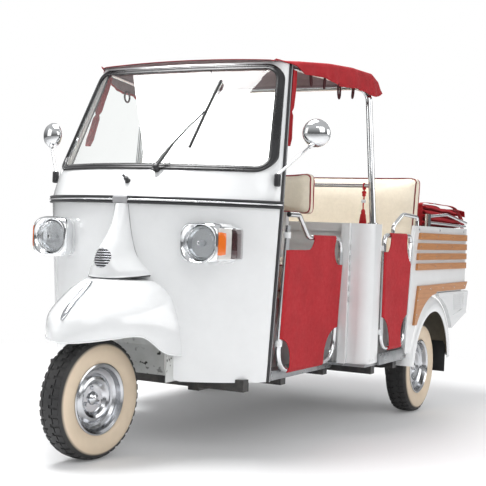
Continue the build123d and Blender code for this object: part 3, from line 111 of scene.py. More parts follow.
class Wiring:
    """Short calls that add and join the nodes of one tree."""

    def __init__(self, tree: bpy.types.NodeTree) -> None:
        """Works on the given tree."""
        self.tree = tree

    def node(
        self, kind: str, values: dict[str | int, object] | None = None, **settings: object
    ) -> bpy.types.Node:
        """Adds a node.

        Args:
            kind: the node's type, without its ShaderNode prefix.
            values: what its input sockets hold, or the output sockets joined to them.
            settings: the node's own properties.

        Returns:
            The new node.
        """
        made = self.tree.nodes.new(f"ShaderNode{kind}")
        for label, value in settings.items():
            setattr(made, label, value)
        for label, value in (values or {}).items():
            if isinstance(value, bpy.types.NodeSocket):
                self.tree.links.new(value, made.inputs[label])
            else:
                made.inputs[label].default_value = value
        return made

    def math(self, operation: str, first: object, second: object = 0.5) -> bpy.types.NodeSocket:
        """Adds a math node and returns its output."""
        return self.node("Math", {0: first, 1: second}, operation=operation).outputs[0]

    def place(self) -> bpy.types.NodeSocket:
        """Adds a coordinate node and returns the object's own coordinates."""
        return self.node("TexCoord").outputs["Object"]

    def noise(
        self, place: object, scale: object, detail: float, roughness: float = 0.5, **more: float
    ) -> object:
        """Adds a noise texture and returns its value."""
        values = {"Vector": place, "Scale": scale, "Detail": detail, "Roughness": roughness}
        values |= {label.title(): value for label, value in more.items()}
        return self.node("TexNoise", values).outputs[0]

    def spread(self, value: object, low: object, high: object, **more: float) -> bpy.types.NodeSocket:
        """Maps a value onto low..high and returns the output; more gives the range it comes from."""
        values = {"Value": value, "To Min": low, "To Max": high}
        values |= {f"From {label.title()}": number for label, number in more.items()}
        return self.node("MapRange", values).outputs["Result"]

    def ramp(self, value: bpy.types.NodeSocket, low: float, high: float) -> bpy.types.NodeSocket:
        """Spreads a value from low..high to 0..1 and returns the output."""
        return self.node("MapRange", {"Value": value, "From Min": low, "From Max": high}).outputs["Result"]

    def mix(self, share: object, first: object, second: object) -> bpy.types.NodeSocket:
        """Mixes two colours and returns the output."""
        made = self.node("Mix", data_type="RGBA")
        for socket, value in ((made.inputs[0], share), (made.inputs[6], first), (made.inputs[7], second)):
            if isinstance(value, bpy.types.NodeSocket):
                self.tree.links.new(value, socket)
            else:
                socket.default_value = value if isinstance(value, float) else (*value, 1.0)
        return made.outputs[2]


class SharedEffects:
    """Shader groups that several finishes use, each built once."""

    def __init__(self) -> None:
        """Builds every group."""
        self.handling = self._handling()
        self.cloth_weave = self._cloth_weave()
        self.road_dust = self._road_dust()

    @staticmethod
    def _handling() -> bpy.types.NodeTree:
        """Soft cloudy wear, as wiping and handling leave it: a mask and a fine height."""
        tree = new_group(
            "handling_wear", {"Scale": 9.0, "Fine": 160.0}, {"Mask": "Float", "Height": "Float"}
        )
        w = Wiring(tree)
        place = w.place()
        ends = tree.nodes["in"].outputs
        broad = w.noise(place, ends["Scale"], 5.0, 0.62)
        tree.links.new(w.ramp(broad, 0.38, 0.68), tree.nodes["out"].inputs["Mask"])
        tree.links.new(w.noise(place, ends["Fine"], 3.0), tree.nodes["out"].inputs["Height"])
        return tree

    @staticmethod
    def _cloth_weave() -> bpy.types.NodeTree:
        """Plain weave on three axes, with slubs: a height and a tint mask."""
        tree = new_group("cloth_weave", {"Threads": 900.0}, {"Height": "Float", "Slub": "Float"})
        w = Wiring(tree)
        place = w.place()
        parts = w.node("SeparateXYZ", {0: place})
        count = tree.nodes["in"].outputs["Threads"]
        waves = [w.math("SINE", w.math("MULTIPLY", parts.outputs[axis], count), 0.0) for axis in range(3)]
        level = w.math("ADD", w.math("MULTIPLY", waves[0], waves[2]), w.math("MULTIPLY", waves[1], waves[2]))
        level = w.math("ADD", level, w.math("MULTIPLY", waves[0], waves[1]))
        slub = w.noise(place, 60.0, 6.0, 0.7)
        tree.links.new(level, tree.nodes["out"].inputs["Height"])
        tree.links.new(w.ramp(slub, 0.3, 0.7), tree.nodes["out"].inputs["Slub"])
        return tree

    @staticmethod
    def _road_dust() -> bpy.types.NodeTree:
        """Dust that thins with height above the road: a mask."""
        tree = new_group("road_dust", {"Top": 0.5}, {"Mask": "Float"})
        w = Wiring(tree)
        place = w.place()
        height = w.node("SeparateXYZ", {0: place}).outputs[2]
        cloud = w.noise(place, 14.0, 7.0, 0.66)
        fall = w.spread(height, 1.0, 0.0, min=0.0, max=tree.nodes["in"].outputs["Top"])
        tree.links.new(w.math("MULTIPLY", fall, w.ramp(cloud, 0.42, 0.72)), tree.nodes["out"].inputs["Mask"])
        return tree


@dataclass(frozen=True)
class Finish:
    """A surface finish, made once as a material.

    Fields give the colour, its second tone, the roughness and its spread, and the shader's own plain values.
    """

    name: str
    colour: Colour
    second: Colour
    roughness: float
    spread: float = 0.06
    metallic: float = 0.0
    coat: float = 0.0
    specular: float = 0.5
    bump: float = 0.0004
    scale: float = 9.0
    fine: float = 160.0

    def wear(self, w: Wiring, effects: SharedEffects) -> bpy.types.bpy_prop_collection:
        """Adds the wear group at this finish's scales and returns its outputs."""
        group = w.node("Group", node_tree=effects.handling)
        group.inputs["Scale"].default_value = self.scale
        group.inputs["Fine"].default_value = self.fine
        return group.outputs

    def height_to_normal(
        self, w: Wiring, height: bpy.types.NodeSocket, distance: float
    ) -> bpy.types.NodeSocket:
        """Turns a height into a normal.

        Args:
            w: the material's wiring.
            height: the height's output socket.
            distance: how far the height reaches, in metres.

        Returns:
            The normal's output socket.
        """
        return w.node("Bump", {"Height": height, "Distance": distance, "Strength": 1.0}).outputs[0]

    def make(self, effects: SharedEffects) -> bpy.types.Material:
        """Makes the material from its inputs.

        Args:
            effects: the shared shader groups.

        Returns:
            The material.
        """
        made = bpy.data.materials.new(self.name)
        made.use_nodes = True
        shader = made.node_tree.nodes["Principled BSDF"]
        plain = {"Metallic": self.metallic, "Coat Weight": self.coat, "Coat Roughness": 0.04}
        plain["Specular IOR Level"] = self.specular
        for label, value in (plain | self.inputs(Wiring(made.node_tree), effects)).items():
            if isinstance(value, bpy.types.NodeSocket):
                made.node_tree.links.new(value, shader.inputs[label])
            else:
                shader.inputs[label].default_value = value
        return made

    def inputs(self, w: Wiring, effects: SharedEffects) -> dict[str, object]:
        """The shader's inputs: two tones by wear, and a fine grain in the gloss."""
        wear = self.wear(w, effects)
        low, high = max(self.roughness - self.spread, 0.02), self.roughness + self.spread
        grain = {"Normal": self.height_to_normal(w, wear["Height"], self.bump)} if self.bump else {}
        rough = w.spread(wear["Mask"], low, high)
        return {"Base Color": w.mix(wear["Mask"], self.colour, self.second), "Roughness": rough, **grain}


@dataclass(frozen=True)
class DustyFinish(Finish):
    """A finish that gathers road dust low down."""

    dust: Colour = (0.42, 0.38, 0.32)
    dust_top: float = 0.45

    def inputs(self, w: Wiring, effects: SharedEffects) -> dict[str, object]:
        """The shader's inputs, with the dust laid over the tone."""
        wear = self.wear(w, effects)
        dust = w.node("Group", node_tree=effects.road_dust)
        dust.inputs["Top"].default_value = self.dust_top
        tone = w.mix(wear["Mask"], self.colour, self.second)
        share = w.math("MULTIPLY", dust.outputs["Mask"], 0.35)
        rough = w.math("ADD", w.math("MULTIPLY", dust.outputs["Mask"], 0.3), self.roughness)
        normal = self.height_to_normal(w, wear["Height"], self.bump)
        return {"Base Color": w.mix(share, tone, self.dust), "Roughness": rough, "Normal": normal}


@dataclass(frozen=True)
class ShadedWellFinish(Finish):
    """Painted metal sheet, its grey tone painted shade of a recessed well, with dark specks painted as the
    shade in its holes.
    """

    # dark specks: painted shade in the panel's holes
    hole_shade: Colour = (0.03, 0.03, 0.028)

    def inputs(self, w: Wiring, effects: SharedEffects) -> dict[str, object]:
        """The shader's inputs, with the painted-shade specks of the holes scattered over the sheet's
        painted-shade grey tone.
        """
        wear = self.wear(w, effects)
        place = w.place()
        spots, patches = w.noise(place, 42.0, 2.0, 0.4), w.noise(place, 9.0, 1.0)
        # mask of the dark hole specks, painted shade
        mask = w.math("MULTIPLY", w.ramp(spots, 0.60, 0.66), w.ramp(patches, 0.40, 0.62))
        tone = w.mix(wear["Mask"], self.colour, self.second)
        rough = w.math("ADD", w.math("MULTIPLY", mask, 0.2), self.roughness)
        normal = self.height_to_normal(w, wear["Height"], self.bump)
        return {"Base Color": w.mix(mask, tone, self.hole_shade), "Roughness": rough, "Normal": normal}


@dataclass(frozen=True)
class ClothFinish(Finish):
    """Woven canvas or grained vinyl, with soft folds in its light."""

    threads: float = 900.0
    crease: float = 0.002

    def inputs(self, w: Wiring, effects: SharedEffects) -> dict[str, object]:
        """The shader's inputs: weave, slubs and broad creases."""
        weave = w.node("Group", node_tree=effects.cloth_weave)
        weave.inputs["Threads"].default_value = self.threads
        wear = self.wear(w, effects)
        tone = w.mix(wear["Mask"], self.colour, self.second)
        slub, dark = weave.outputs["Slub"], tuple(0.78 * c for c in self.second)
        folds = w.noise(w.place(), 7.0, 2.0, 0.4, distortion=0.6)
        threads = w.math("MULTIPLY", weave.outputs["Height"], self.bump)
        height = w.math("ADD", w.math("MULTIPLY", folds, self.crease), threads)
        return {
            "Base Color": w.mix(w.math("MULTIPLY", slub, 0.35), tone, dark),
            "Roughness": w.spread(slub, self.roughness - self.spread, self.roughness + self.spread),
            "Normal": self.height_to_normal(w, height, 1.0),
            "Sheen Weight": 0.04,
        }


@dataclass(frozen=True)
class WoodFinish(Finish):
    """Varnished timber with grain along the vehicle."""

    def inputs(self, w: Wiring, effects: SharedEffects) -> dict[str, object]:
        """The shader's inputs: rings drawn out along Y, with darker streaks."""
        drawn = w.node("Mapping", {"Vector": w.place(), "Scale": (60.0, 3.2, 60.0)}).outputs[0]
        grain = w.noise(drawn, 1.6, 8.0, 0.62, distortion=1.2)
        streak = w.noise(drawn, 7.0, 4.0, 0.8)
        tone = w.mix(w.ramp(grain, 0.35, 0.68), self.colour, self.second)
        dark = tuple(0.45 * c for c in self.second)
        return {
            "Base Color": w.mix(w.math("MULTIPLY", w.ramp(streak, 0.55, 0.8), 0.55), tone, dark),
            "Roughness": w.math("ADD", w.math("MULTIPLY", grain, 0.15), self.roughness),
            "Normal": self.height_to_normal(w, streak, self.bump),
        }


@dataclass(frozen=True)
class GlassFinish(Finish):
    """Clear or tinted glass with faint smears."""

    ior: float = 1.45
    flutes: float = 0.0

    def inputs(self, w: Wiring, effects: SharedEffects) -> dict[str, object]:
        """The shader's inputs; flutes gives a moulded lens its ribs per metre."""
        wear = self.wear(w, effects)
        made = {
            "Transmission Weight": 1.0,
            "IOR": self.ior,
            "Base Color": w.mix(wear["Mask"], self.colour, self.second),
            "Roughness": w.spread(wear["Mask"], self.roughness, self.roughness + self.spread),
        }
        if self.flutes:
            parts = w.node("SeparateXYZ", {0: w.place()})
            wave = w.math("SINE", w.math("MULTIPLY", parts.outputs[0], self.flutes * 2 * math.pi), 0.0)
            cross = w.math("SINE", w.math("MULTIPLY", parts.outputs[2], self.flutes * math.pi), 0.0)
            height = w.math("ADD", wave, w.math("MULTIPLY", cross, 0.35))
            made["Normal"] = self.height_to_normal(w, height, self.bump)
        return made


@dataclass(frozen=True)
class TyreFinish(Finish):
    """Black tyre rubber with a cream band on the outer sidewall, told by the piece's own attribute."""

    band: Colour = (0.73, 0.60, 0.45)

    def inputs(self, w: Wiring, effects: SharedEffects) -> dict[str, object]:
        """The shader's inputs; the "band" attribute is 1 on the cream part."""
        wear = self.wear(w, effects)
        cream = w.mix(w.math("MULTIPLY", wear["Mask"], 0.5), self.band, tuple(0.86 * c for c in self.band))
        black = w.mix(wear["Mask"], self.colour, self.second)
        band = w.node("Attribute", attribute_name="band").outputs["Fac"]
        return {
            "Base Color": w.mix(band, black, cream),
            "Roughness": w.math("SUBTRACT", self.roughness, w.math("MULTIPLY", band, 0.12)),
            "Normal": self.height_to_normal(w, wear["Height"], self.bump),
        }


FINISHES = (
    # name, colour, second tone, roughness, its spread
    Finish(
        "white_enamel", (0.80, 0.81, 0.815), (0.775, 0.785, 0.79), 0.13, 0.04, coat=0.7, bump=0.00003,
        fine=60.0,
    ),
    Finish("grey_enamel", (0.60, 0.62, 0.63), (0.56, 0.58, 0.59), 0.3, 0.05, coat=0.3, bump=0.00004),
    DustyFinish("chassis_enamel", (0.018, 0.018, 0.02), (0.03, 0.03, 0.03), 0.42, bump=0.0003),
    DustyFinish("fender_liner", (0.14, 0.12, 0.085), (0.10, 0.09, 0.065), 0.7, bump=0.0006, dust_top=0.9),
    Finish("bright_chrome", (0.76, 0.77, 0.78), (0.68, 0.69, 0.70), 0.08, 0.05, metallic=1.0, bump=0.00002),
    Finish("brushed_rim", (0.60, 0.61, 0.63), (0.50, 0.51, 0.53), 0.17, 0.07, metallic=1.0, bump=0.00005),
    Finish("mirror_silver", (0.88, 0.90, 0.92), (0.86, 0.88, 0.90), 0.03, 0.01, metallic=1.0, bump=0.0),
    Finish("steel_screw", (0.35, 0.36, 0.38), (0.22, 0.22, 0.24), 0.32, 0.1, metallic=1.0),
    Finish("black_rubber", (0.022, 0.023, 0.025), (0.035, 0.036, 0.038), 0.48, 0.1, bump=0.0001, fine=420.0),
    Finish(
        "seal_rubber", (0.010, 0.010, 0.011), (0.018, 0.018, 0.020), 0.30, 0.08, bump=0.00004, fine=300.0
    ),
    Finish("black_moulding", (0.02, 0.02, 0.022), (0.03, 0.03, 0.032), 0.38, 0.08, bump=0.0001, fine=700.0),
    Finish("grey_joiner", (0.36, 0.36, 0.37), (0.30, 0.30, 0.31), 0.4, 0.06),
    TyreFinish(
        "tyre_rubber", (0.024, 0.024, 0.025), (0.04, 0.039, 0.038), 0.62, 0.1, bump=0.0003, fine=300.0
    ),
    ClothFinish(
        "red_canvas", (0.46, 0.016, 0.024), (0.38, 0.012, 0.018), 0.66, 0.1, bump=0.00006, specular=0.2
    ),
    ClothFinish(
        "roof_canvas", (0.42, 0.020, 0.027), (0.34, 0.015, 0.020), 0.64, 0.1, bump=0.00006, specular=0.2
    ),
    ClothFinish(
        "roof_lining", (0.30, 0.22, 0.23), (0.24, 0.17, 0.18), 0.75, 0.1, bump=0.00006, specular=0.15
    ),
    ClothFinish(
        "dark_strap", (0.07, 0.018, 0.02), (0.05, 0.015, 0.016), 0.7, 0.1, bump=0.00006, specular=0.2
    ),
    ClothFinish(
        "cream_vinyl", (0.84, 0.76, 0.62), (0.79, 0.71, 0.57), 0.42, 0.08, bump=0.00003, threads=500.0,
        crease=0.0015, specular=0.4,
    ),
    ClothFinish("red_piping", (0.33, 0.03, 0.035), (0.27, 0.022, 0.028), 0.45, 0.08, bump=0.00003),
    ClothFinish("tassel_thread", (0.62, 0.01, 0.012), (0.48, 0.006, 0.01), 0.6, 0.1, bump=0.0001),
    WoodFinish("varnished_wood", (0.56, 0.24, 0.072), (0.42, 0.16, 0.045), 0.28, coat=0.45, bump=0.00015),
    GlassFinish("window_glass", (0.96, 0.98, 0.97), (0.95, 0.97, 0.96), 0.01, 0.015),
    GlassFinish("lamp_glass", (0.97, 0.98, 0.99), (0.94, 0.95, 0.96), 0.02, 0.02, flutes=62.0, bump=0.00010),
    Finish("amber_lens", (0.80, 0.17, 0.015), (0.72, 0.14, 0.012), 0.12, 0.04, coat=0.8, bump=0.0),
    Finish(
        "clear_rim", (0.62, 0.60, 0.58), (0.50, 0.48, 0.46), 0.12, 0.05, coat=0.8, bump=0.0006, fine=900.0
    ),
    Finish("dark_lens", (0.030, 0.006, 0.008), (0.045, 0.008, 0.010), 0.07, 0.03, coat=0.9, bump=0.0),
    # grey tone is painted shade of the recessed wheel well; the dark specks are painted shade in its holes
    ShadedWellFinish("shaded_well_grey", (0.62, 0.63, 0.62), (0.50, 0.51, 0.49), 0.5, bump=0.0004),
    Finish("bezel_chrome", (0.86, 0.87, 0.88), (0.80, 0.81, 0.82), 0.05, 0.03, metallic=1.0, bump=0.0),
    GlassFinish("red_lens", (0.85, 0.03, 0.02), (0.78, 0.02, 0.02), 0.08, 0.04, flutes=160.0, bump=0.0005),
    Finish(
        "floor_sheet", (0.34, 0.35, 0.36), (0.25, 0.26, 0.27), 0.36, 0.12, metallic=0.7, bump=0.0004,
        fine=90.0,
    ),
    Finish("engine_casting", (0.16, 0.16, 0.165), (0.10, 0.10, 0.105), 0.55, 0.1, metallic=0.6, bump=0.001),
    Finish("bulb_white", (0.85, 0.86, 0.88), (0.78, 0.80, 0.82), 0.3, 0.1, bump=0.0),
)


class Paints:
    """Every material of the vehicle, by its finish's name."""

    def __init__(self) -> None:
        """Builds the shared groups, then each finish once."""
        effects = SharedEffects()
        self._made = {finish.name: finish.make(effects) for finish in FINISHES}

    def __getitem__(self, name: str) -> bpy.types.Material:
        """The material of a finish's name."""
        return self._made[name]


# ---------------------------------------------------------------- bench
class Bench:
    """The making of one piece: a primitive, shaped in edit mode and finished with modifiers."""

    @staticmethod
    def clear() -> None:
        """Leaves edit mode and deselects everything."""
        if bpy.context.object and bpy.context.object.mode != "OBJECT":
            bpy.ops.object.mode_set(mode="OBJECT")
        bpy.ops.object.select_all(action="DESELECT")

    @staticmethod
    def only(piece: bpy.types.Object) -> None:
        """Makes a piece the one that operators act on."""
        Bench.clear()
        piece.select_set(True)
        bpy.context.view_layer.objects.active = piece

    @staticmethod
    def settle(piece: bpy.types.Object) -> None:
        """Puts a piece's place, turn and size into its mesh."""
        Bench.only(piece)
        bpy.ops.object.transform_apply(location=True, rotation=True, scale=True)

    @staticmethod
    def newest(name: str) -> bpy.types.Object:
        """Names the primitive just added and returns it."""
        bpy.context.object.name = name
        return bpy.context.object

    @staticmethod
    @contextmanager
    def shaping(piece: bpy.types.Object) -> Iterator[bmesh.types.BMesh]:
        """Holds a piece in edit mode, all selected, and writes its mesh back."""
        Bench.only(piece)
        bpy.ops.object.mode_set(mode="EDIT")
        bpy.ops.mesh.select_all(action="SELECT")
        mesh = bmesh.from_edit_mesh(piece.data)
        mesh.verts.ensure_lookup_table()
        yield mesh
        bmesh.update_edit_mesh(piece.data)
        bpy.ops.object.mode_set(mode="OBJECT")

    @staticmethod
    def outward(piece: bpy.types.Object, merge: float = 0.00001) -> None:
        """Merges doubles and turns the faces outwards."""
        with Bench.shaping(piece):
            bpy.ops.mesh.remove_doubles(threshold=merge)
            bpy.ops.mesh.normals_make_consistent(inside=False)

    @staticmethod
    def thicken(piece: bpy.types.Object, thickness: float, offset: float = -1.0) -> float:
        """Gives a sheet its thickness, inwards or about its middle, and returns the sheet's area."""
        area = sum(face.area for face in piece.data.polygons)
        Bench.modify(piece, "SOLIDIFY", thickness=thickness, offset=offset)
        return area

    @staticmethod
    def modify(piece: bpy.types.Object, kind: str, **settings: object) -> None:
        """Adds a modifier with its settings and applies it."""
        Bench.only(piece)
        modifier = piece.modifiers.new(kind.lower(), kind)
        for label, value in settings.items():
            setattr(modifier, label, value)
        bpy.ops.object.modifier_apply(modifier=modifier.name)

    @staticmethod
    def rings(name: str, loops: Sequence[Loop], close: tuple[bool, bool] = (True, True)) -> bpy.types.Object:
        """Skin through rings of points, drawn out one ring at a time.

        Args:
            name: the piece's name.
            loops: rings with the same number of points, in the same order.
            close: whether the first and the last ring are filled.

        Returns:
            The piece.
        """
        Bench.clear()
        count = len(loops[0])
        bpy.ops.mesh.primitive_circle_add(vertices=count, radius=1.0, fill_type="NOTHING")
        piece = Bench.newest(name)
        bpy.ops.object.mode_set(mode="EDIT")
        mesh = bmesh.from_edit_mesh(piece.data)
        mesh.verts.ensure_lookup_table()
        for vertex, spot in zip(mesh.verts, loops[0]):
            vertex.co = spot
        bmesh.update_edit_mesh(piece.data)
        bpy.ops.mesh.select_all(action="SELECT")
        if close[0]:
            bpy.ops.mesh.edge_face_add()
            bpy.ops.mesh.select_all(action="SELECT")
        for before, after in zip(loops, loops[1:]):
            bpy.ops.mesh.extrude_edges_indiv()
            mesh = bmesh.from_edit_mesh(piece.data)
            places = {tuple(round(c, 7) for c in spot): goal for spot, goal in zip(before, after)}
            for vertex in mesh.verts:
                if vertex.select:
                    key = tuple(round(c, 7) for c in vertex.co)
                    if key not in places:
                        key = min(places, key=lambda k: (Vector(k) - vertex.co).length)
                    vertex.co = places[key]
            bmesh.update_edit_mesh(piece.data)
        if close[1]:
            bpy.ops.mesh.edge_face_add()
        bpy.ops.object.mode_set(mode="OBJECT")
        Bench.settle(piece)
        Bench.outward(piece)
        return piece

    @staticmethod
    def sheet(
        name: str, across: int, along: int, place: Callable[[float, float], Point]
    ) -> bpy.types.Object:
        """Open sheet laid out on a grid.

        Args:
            name: the piece's name.
            across: cells over u.
            along: cells over v.
            place: gives the point for u and v, both from 0 to 1.

        Returns:
            The piece, one face thick.
        """
        Bench.clear()
        bpy.ops.mesh.primitive_grid_add(x_subdivisions=across, y_subdivisions=along, size=1.0)
        piece = Bench.newest(name)
        with Bench.shaping(piece) as mesh:
            for vertex in mesh.verts:
                u, v = vertex.co.x + 0.5, vertex.co.y + 0.5
                vertex.co = place(min(max(u, 0.0), 1.0), min(max(v, 0.0), 1.0))
        Bench.settle(piece)
        return piece

    @staticmethod
    def slab(name: str, low: Point, high: Point, bevel: float = 0.0, segments: int = 2) -> bpy.types.Object:
        """Bevelled block between two corners."""
        Bench.clear()
        centre = [(a + b) / 2 for a, b in zip(low, high)]
        bpy.ops.mesh.primitive_cube_add(size=1.0, location=centre)
        piece = Bench.newest(name)
        piece.scale = [abs(b - a) for a, b in zip(low, high)]
        Bench.settle(piece)
        if bevel:
            with Bench.shaping(piece):
                bpy.ops.mesh.bevel(offset=bevel, segments=segments, affect="EDGES")
        return piece

    @staticmethod
    def bar(
        name: str, points: Sequence[Point], radius: float, smooth: bool = True, sides: int = 6
    ) -> bpy.types.Object:
        """Round bar or cord along points, closed at its ends.

        Args:
            name: the piece's name.
            points: the line's control points.
            radius: the bar's radius.
            smooth: whether the line runs in one smooth curve rather than straight runs.
            sides: half the sides of its section.

        Returns:
            The piece as a mesh.
        """
        Bench.clear()
        bpy.ops.curve.primitive_nurbs_path_add()
        piece = Bench.newest(name)
        curve = piece.data
        curve.splines.clear()
        line = curve.splines.new("NURBS" if smooth else "POLY")
        line.points.add(len(points) - 1)
        for spot, goal in zip(line.points, points):
            spot.co = (*goal, 1.0)
        if smooth:
            line.order_u = 3
            line.use_endpoint_u = True
        curve.dimensions = "3D"
        curve.resolution_u = 8
        curve.bevel_depth = radius
        curve.bevel_resolution = max(sides - 2, 1)
        curve.use_fill_caps = True
        Bench.only(piece)
        bpy.ops.object.convert(target="MESH")
        piece = bpy.context.object
        Bench.settle(piece)
        Bench.outward(piece)
        return piece

    @staticmethod
    def join(name: str, parts: Sequence[bpy.types.Object]) -> bpy.types.Object:
        """Joins pieces into one and names it."""
        Bench.clear()
        for part in parts:
            part.select_set(True)
        bpy.context.view_layer.objects.active = parts[0]
        if len(parts) > 1:
            bpy.ops.object.join()
        parts[0].name = name
        return parts[0]


def turns(count: int, ends: int = 0) -> list[float]:
    """Angles that share out a full turn, with its end where ends is 1."""
    return [2 * math.pi * k / count for k in range(count + ends)]


def squared(turn: float, power: float) -> Pair:
    """Cosine and sine of a turn on a unit square whose corners a power rounds, 2 for a circle."""
    c, s = math.cos(turn), math.sin(turn)
    reach = (abs(c) ** power + abs(s) ** power) ** (-1 / power)
    return reach * c, reach * s


def ring(centre: Point, radius: float, count: int, axis: Point = (1, 0, 0)) -> list[Point]:
    """Points of a circle square to an axis.

    Args:
        centre: its centre.
        radius: its radius.
        count: how many points.
        axis: the direction it faces.

    Returns:
        The points, in order.
    """
    facing = Vector(axis).normalized()
    first = (facing.orthogonal() if abs(facing.z) > 0.99 else Vector((0, 0, 1)).cross(facing)).normalized()
    second = facing.cross(first)
    middle = Vector(centre)
    return [
        tuple(middle + first * radius * math.cos(a) + second * radius * math.sin(a)) for a in turns(count)
    ]


def turned(foot: Point, axis: Point, rows: Profile, count: int) -> list[Loop]:
    """Circles along an axis, from rows of distance and radius."""
    return [ring(Vector(foot) + Vector(axis) * reach, radius, count, axis) for reach, radius in rows]


def ahead(points: Sequence[Vector], step: float) -> list[Vector]:
    """Points moved along Y by a step."""
    return [point + Vector((0, step, 0)) for point in points]


def rounded(centre: Point, half_width: float, half_height: float, power: float, count: int) -> list[Point]:
    """Points of a rounded rectangle that faces forward, square to Y.

    Args:
        centre: its centre.
        half_width: half its size along X.
        half_height: half its size along Z.
        power: 2 for an ellipse, more for squarer corners.
        count: how many points.

    Returns:
        The points, in order.
    """
    x, y, z = centre
    corners = (squared(turn, power) for turn in turns(count))
    return [(x + half_width * c, y, z + half_height * s) for c, s in corners]


@dataclass
class SubAssembly:
    """A group of pieces that ride on one body and share the paints."""

    paints: Paints
    body: Body = Body.SHELL

    def dress(
        self,
        piece: bpy.types.Object,
        finish: str,
        slot: str,
        smooth: float = 40.0,
        body: Body | None = None,
        replaces: Sequence[str] = (),
    ) -> bpy.types.Object:
        """Gives a finished piece its material, shading and place in the frame.

        Args:
            piece: the piece.
            finish: the name of its finish.
            slot: not used.
            smooth: the largest angle, in degrees, that shades smooth.
            body: the body it rides on, where that isn't this group's own.
            replaces: the solids that it stands for.

        Returns:
            The piece.
        """
        Bench.only(piece)
        piece.data.materials.clear()
        piece.data.materials.append(self.paints[finish])
        bpy.ops.object.shade_smooth_by_angle(angle=math.radians(smooth))
        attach(piece, (body or self.body).value)
        if replaces:
            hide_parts(*replaces)
        log.info("%s: %d faces, %s", piece.name, len(piece.data.polygons), finish)
        return piece


# ---------------------------------------------------------------- wheels
@dataclass
class Tyre(SubAssembly):
    """Treaded tyre with a cream band on its outer wall."""

    tag: str = "front"
    centre: Point = (0.0, 0.0, 0.0)
    turn: float = 0.0
    outer: int = LEFT
    radius: float = 0.2335
    half_width: float = 0.060
    bead_radius: float = 0.131
    steps: int = 120
    lug_height: float = 0.0042

    def section(self) -> list[Pair]:
        """The tyre's section as offsets outboard and radii, from the inner bead round to the outer one."""
        w, r, b = self.half_width, self.radius, self.bead_radius
        inner_wall = [(0.040, b), (0.047, b + 0.008), (0.055, 0.160), (0.0590, 0.180)]
        outer_wall = [(w, 0.194), (0.0575, 0.207), (0.053, 0.2165), (0.0485, 0.222)]
        drops = ((0.0445, 0.0070), (0.036, 0.0036), (0.0245, 0.0017), (0.0205, 0.0013), (0.0075, 0.0002))
        half = inner_wall + outer_wall + [(x, r - drop) for x, drop in drops]
        return [(-x, h) for x, h in half] + half[::-1]

    def make(self) -> bpy.types.Object:
        """Spins the carcass, twists its tread band and raises the lugs.

        Returns:
            The tyre, in place of the plain ring.
        """
        loops = []
        for x, r in self.section():
            slant = 0.30 * min(abs(x), 0.05)
            angles = ((2 * math.pi * (step + slant * 14) / self.steps) for step in range(self.steps))
            loops.append([(x, r * math.cos(a), r * math.sin(a)) for a in angles])
        piece = Bench.rings(f"{self.tag}_treaded_tyre", loops, close=(False, False))
        self._raise_lugs(piece)
        self._mark_band(piece)
        place = Matrix.Translation(self.centre) @ Matrix.Rotation(math.radians(self.turn), 4, "Z")
        if self.outer == RIGHT:
            place = place @ Matrix.Rotation(math.pi, 4, "Z")
        piece.data.transform(place)
        return self.dress(piece, "tyre_rubber", "tyre_rubber", 38, replaces=[f"{self.tag}_tyre"])

    def _raise_lugs(self, piece: bpy.types.Object) -> None:
        """Raises the tread lugs and the two shoulder rows from the carcass."""
        Bench.only(piece)
        bpy.ops.object.mode_set(mode="EDIT")
        bpy.ops.mesh.select_mode(type="FACE")
        bpy.ops.mesh.select_all(action="DESELECT")
        mesh = bmesh.from_edit_mesh(piece.data)
        for face in mesh.faces:
            middle = face.calc_center_median()
            radius = math.hypot(middle.y, middle.z)
            if radius < self.radius - 0.0085:
                continue
            share = (math.atan2(middle.z, middle.y) / (2 * math.pi)) % 1.0
            slant = 0.30 * 14 * min(abs(middle.x), 0.05) / self.steps
            index = int(round((share - slant) * self.steps - 0.5)) % self.steps
            across = abs(middle.x)
            groove, rib = 0.0205 < across < 0.0245, across < 0.0075
            if not groove and (rib or index % 3 != (0 if middle.x > 0 else 1)):
                face.select = True
        bmesh.update_edit_mesh(piece.data)
        bpy.ops.mesh.inset(thickness=0.0007, depth=self.lug_height, use_even_offset=False)
        bpy.ops.mesh.select_mode(type="VERT")
        bpy.ops.object.mode_set(mode="OBJECT")

    def _mark_band(self, piece: bpy.types.Object) -> None:
        """Writes the cream band's attribute on the outer wall."""
        marks = piece.data.attributes.new("band", "FLOAT", "POINT")
        for vertex, mark in zip(piece.data.vertices, marks.data):
            radius = math.hypot(vertex.co.y, vertex.co.z)
            mark.value = 1.0 if vertex.co.x > 0.030 and 0.125 < radius < 0.2145 else 0.0


